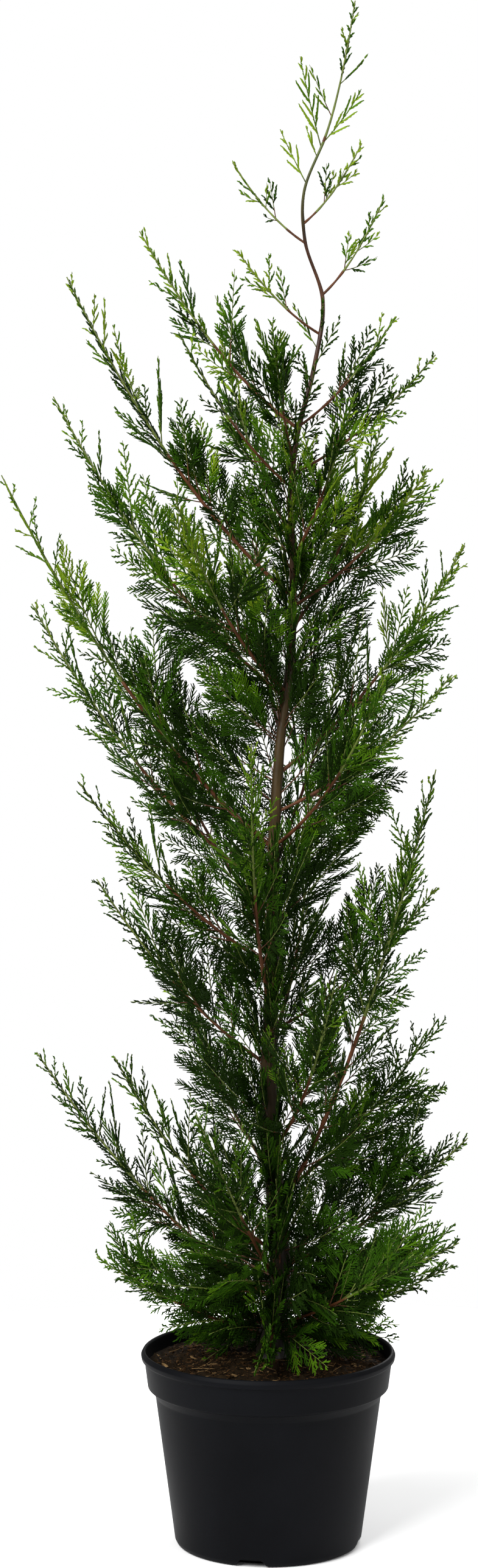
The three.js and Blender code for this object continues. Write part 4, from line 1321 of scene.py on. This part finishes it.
class CYPRESS_OT_foliage(bpy.types.Operator):
    """Grows twigs on the limbs, branchlets on the twigs and shoots on these, and deals out their tints"""

    bl_idname = "cypress.foliage"
    bl_label = "Foliage"

    def branching(self, leaf):
        """The rule of branchlets on twigs."""
        return Rule(
            spacing=leaf.branchlet_spacing,
            lean=leaf.branchlet_angle,
            hug=0.18,
            crowd=-0.3,
            part=leaf.branchlet_share,
            shy=0.3,
            fade=0.75,
            shortest=6 * MM,
            longest=65 * MM,
            tilt=0.18,
            curl=0.35,
            top_gap=1.3,
            top_part=1.2,
            seeds=BRANCHLET_SEEDS,
        )

    def shooting(self, leaf):
        """The rule of shoots on branchlets."""
        return Rule(
            spacing=leaf.shoot_spacing,
            lean=leaf.shoot_angle,
            hug=0.3,
            crowd=0.1,
            part=leaf.shoot_share,
            shy=0.55,
            fade=0.6,
            shortest=3.8 * MM,
            longest=13 * MM,
            tilt=0.25,
            curl=0.3,
            top_gap=0.9,
            top_part=0.6,
            seeds=SHOOT_SEEDS,
        )

    def stem(self, twigs, first, last, rows=7, sides=4):
        """Slim tubes along a stretch of each twig, thinning from root to tip."""
        least_radius, thickening, thinning = 0.5 * MM, 0.003, 0.6
        count = len(twigs.length)
        t = np.broadcast_to(np.linspace(first, last, rows), (count, rows))
        middles = twigs.at(np.arange(count)[:, None], t)
        root = least_radius + thickening * twigs.length[:, None]
        return tubes(middles, root * (1.0 - thinning * t), sides)

    def stems(self, twigs, leaf, bark):
        """Twig stems: brown in their inner part where they are old, and green beyond."""
        old_limit, brown_end, green_start = 0.5, 0.3, 0.28
        old = twigs.pick(twigs.outer < old_limit)
        young = twigs.pick(twigs.outer >= old_limit)
        red_bark = mottled("twig_bark", bark.limb_colour, 0.4, 90.0, roughness=0.6, specular=0.3, bump=0.0002)
        green = mottled("green_twig", leaf.stem_green, 0.3, 90.0, roughness=0.6, specular=0.3, bump=0.0002)
        put("twig_stems_old", [self.stem(old, 0.0, brown_end)], red_bark)
        green_parts = [self.stem(old, green_start, 1.0), self.stem(young, 0.0, 1.0)]
        put("twig_stems_young", green_parts, green)

    def ripeness_and_shade(self, shoots, bearer):
        """How fresh a tint is, with painted shade: fresher towards the rim and the top, with chance by twig
        and by branchlet.

        The darker tints inside the crown are partly older foliage and partly painted shade. Chance counts for
        less at the rim, and the low rim is darker, as painted shade under the crown above.
        """
        twig_drift, branchlet_drift, rim_calm = 0.85, 0.4, 0.35
        young = youth(shoots.outer)
        drift = twig_drift * (shoots.turn - 0.5) + branchlet_drift * (chance(bearer, 21) - 0.5)
        drift *= 1.0 - rim_calm * young
        # Painted shade: shoots at the low rim take darker tints, as under the crown above.
        drift -= by_height(shoots.start[:, 2], LOW_RIM_PAINTED_SHADE) * young
        # Darker inside the crown, partly older foliage and partly painted shade; by height, darker low in the
        # crown as painted shade and fresher at the top as young growth.
        return shoots.outer + drift + by_height(shoots.start[:, 2], TINT_AND_SHADE_BY_HEIGHT)

    def spray(self, stalks, ends, leaf):
        """Branchlets as slim tubes and their shoots as wedges, both stouter outwards and upwards."""
        inner_stalk, stalk_gain = 0.72, 0.5
        inner_end, end_gain = 0.85, 0.25
        stalk_width = leaf.shoot_width * (inner_stalk + stalk_gain * stalks.outer) * stout(stalks)
        end_width = leaf.shoot_width * (inner_end + end_gain * ends.outer) * stout(ends)
        return [reeds(stalks, stalk_width), threads(ends, end_width)]

    def sprays(self, branchlets, shoots, owner, leaf):
        """Branchlets and shoots take one of four tints by their ripeness and painted shade, in layers of
        limited size.
        """
        ripeness_and_shade_limits = (0.5, 0.8, 1.04)
        stalk_faces, end_faces, piece_faces = 20, 6, 170000
        stalk_ripeness_and_shade = self.ripeness_and_shade(branchlets, np.arange(len(branchlets.length)))
        stalk_tint = np.searchsorted(ripeness_and_shade_limits, stalk_ripeness_and_shade, side="right")
        shoot_tint = np.searchsorted(ripeness_and_shade_limits, self.ripeness_and_shade(shoots, owner), side="right")
        masses = [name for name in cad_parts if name.startswith("foliage_")]
        for tint, name in enumerate(("deep", "middle", "fresh", "tip")):
            green = getattr(leaf, name)
            finish = mottled(f"{name}_green", green, 0.28, 45.0, roughness=0.6, specular=0.03, bump=0.00025)
            stalks = branchlets.pick(stalk_tint == tint)
            ends = shoots.pick(shoot_tint == tint)
            faces = stalk_faces * len(stalks.length) + end_faces * len(ends.length)
            layers = max(1, math.ceil(faces / piece_faces))
            cuts = np.quantile(ends.start[:, 2], np.linspace(0.0, 1.0, layers + 1)[1:-1])
            stalk_layer = np.searchsorted(cuts, stalks.start[:, 2], side="right")
            end_layer = np.searchsorted(cuts, ends.start[:, 2], side="right")
            for layer in range(layers):
                blocks = self.spray(stalks.pick(stalk_layer == layer), ends.pick(end_layer == layer), leaf)
                put(f"sprays_{name}_{layer + 1}", blocks, finish, masses, smooth=False)
                masses = []

    def execute(self, context):
        leaf = context.scene.cypress_foliage
        bark = context.scene.cypress_bark
        limbs = Limbs()
        scaly_outside = 0.6
        branching = self.branching(leaf)
        shooting = self.shooting(leaf)
        cladding = branching._replace(
            part=0.16, longest=26 * MM, shortest=10 * MM, crowd=-0.7, seeds=CLADDING_SEEDS
        )
        scaling = shooting._replace(
            spacing=2.4 * MM, part=0.02, longest=4.5 * MM, tilt=1.5, seeds=SCALE_SEEDS
        )
        twigs = joined(limb_twigs(limbs, leaf), inner_twigs(bark), long_twigs(limbs))
        ends = limb_ends(limbs, leaf.limb_clad)
        branchlets = joined(side_shoots(twigs, branching)[0], side_shoots(ends, cladding)[0])
        shoots, owner = side_shoots(branchlets, shooting)
        scaly = joined(ends, twigs.pick(twigs.outer > scaly_outside))
        scales, bearer = side_shoots(scaly, scaling)
        self.stems(twigs, leaf, bark)
        bearers = np.concatenate([owner, bearer + SCALE_BEARERS])
        self.sprays(branchlets, joined(shoots, scales), bearers, leaf)
        return {"FINISHED"}


class CYPRESS_OT_stage(bpy.types.Operator):
    """Sets the pale floor, the soft light and the camera"""

    bl_idname = "cypress.stage"
    bl_label = "Stage"

    def floor(self, stage, sides=96, rings=5):
        """Disc of rings round the object, from its edge inwards, with a fan of faces in its middle."""
        around = circle(sides)
        shares = np.linspace(1.0, 1.0 / rings, rings)[:, None]
        x, y = polar(stage.floor_radius * shares, around)
        rows = np.stack([x, y, np.zeros_like(x)], axis=-1)
        vertices = np.concatenate([rows.reshape(-1, 3), [(0.0, 0.0, 0.0)]])
        middle = fan(rings * sides, (rings - 1) * sides, sides)
        mesh = bpy.data.meshes.new("floor")
        mesh.from_pydata(vertices.tolist(), [], grid_faces(rings, sides).tolist() + middle.tolist())
        pale = stage.floor_colour
        paint = mottled("pale_floor", pale, 0.01, 3.0, roughness=0.8, specular=0.1, bump=0.00002)
        mesh.materials.append(paint)
        add_object("floor", mesh)

    def surround(self, stage):
        """White surround that shines softly from all sides, and looks plain white itself."""
        white = (1.0, 1.0, 1.0, 1.0)
        world = bpy.data.worlds.new("soft_surround")
        world.use_nodes = True
        bpy.context.scene.world = world
        nodes, links = world.node_tree.nodes, world.node_tree.links
        light = nodes["Background"]
        backdrop = nodes.new("ShaderNodeBackground")
        for shine, strength in ((light, stage.sky), (backdrop, 1.0)):
            shine.inputs["Color"].default_value = white
            shine.inputs["Strength"].default_value = strength
        ray = nodes.new("ShaderNodeLightPath")
        pick = nodes.new("ShaderNodeMixShader")
        links.new(ray.outputs["Is Camera Ray"], pick.inputs["Fac"])
        links.new(light.outputs["Background"], pick.inputs[1])
        links.new(backdrop.outputs["Background"], pick.inputs[2])
        links.new(pick.outputs["Shader"], nodes["World Output"].inputs["Surface"])

    def lamp(self, name, place, target, size, power):
        """Soft square light aimed at a point."""
        light = bpy.data.lights.new(name, "AREA")
        light.shape = "SQUARE"
        light.size = size
        light.energy = power
        lamp = add_object(name, light)
        back = np.array(place) - np.array(target)
        tilt = math.acos(back[2] / np.linalg.norm(back))
        lamp.location = place
        lamp.rotation_euler = (tilt, 0.0, math.atan2(back[1], back[0]) + math.pi / 2)

    def camera(self, stage):
        """Camera in front of the tree, tilted a little down."""
        data = bpy.data.cameras.new("camera")
        data.lens = stage.lens
        data.sensor_width = 36.0
        camera = add_object("camera", data)
        camera.location = (stage.camera_side, -stage.camera_distance, stage.camera_height)
        camera.rotation_euler = (math.pi / 2 - stage.camera_pitch, 0.0, 0.0)
        bpy.context.scene.camera = camera

    def execute(self, context):
        stage = context.scene.cypress_stage
        crown, floor_behind = (0.0, 0.0, 0.9), (0.5, 0.5, 0.0)
        self.floor(stage)
        self.surround(stage)
        self.lamp("key_light", (-2.4, -2.9, 3.6), crown, 3.2, stage.key_power)
        self.lamp("floor_light", (1.2, 2.4, 2.2), floor_behind, 2.0, stage.wash_power)
        self.lamp("fill_light", (2.6, -2.2, 2.4), crown, 3.0, stage.fill_power)
        self.camera(stage)
        context.scene.view_settings.view_transform = "Standard"
        return {"FINISHED"}


GROUPS = {
    "cypress_pot": PotSizes,
    "cypress_compost": CompostSizes,
    "cypress_bark": BarkSizes,
    "cypress_foliage": FoliageSizes,
    "cypress_stage": StageSizes,
}
OPERATORS = (
    CYPRESS_OT_pot,
    CYPRESS_OT_compost,
    CYPRESS_OT_bark,
    CYPRESS_OT_foliage,
    CYPRESS_OT_stage,
)


class CYPRESS_PT_panel(bpy.types.Panel):
    """Lists the cypress's pieces and their sizes"""

    bl_idname = "CYPRESS_PT_panel"
    bl_label = "Potted Cypress"
    bl_space_type = "VIEW_3D"
    bl_region_type = "UI"
    bl_category = "Cypress"

    def draw(self, context):
        for operator, group in zip(OPERATORS, GROUPS):
            box = self.layout.box()
            box.operator(operator.bl_idname)
            for name in GROUPS[group].__annotations__:
                box.prop(getattr(context.scene, group), name)


CLASSES = (*GROUPS.values(), *OPERATORS, CYPRESS_PT_panel)


def register():
    """Registers the classes and hangs the sizes on the scene."""
    for kind in CLASSES:
        bpy.utils.register_class(kind)
    for name, kind in GROUPS.items():
        setattr(bpy.types.Scene, name, PointerProperty(type=kind))


def unregister():
    """Takes the sizes off the scene and the classes out again."""
    for name in GROUPS:
        delattr(bpy.types.Scene, name)
    for kind in reversed(CLASSES):
        bpy.utils.unregister_class(kind)


def main():
    """Builds every piece in order."""
    register()
    bpy.ops.cypress.pot()
    bpy.ops.cypress.compost()
    bpy.ops.cypress.bark()
    bpy.ops.cypress.foliage()
    bpy.ops.cypress.stage()


if __name__ == "__main__":
    main()
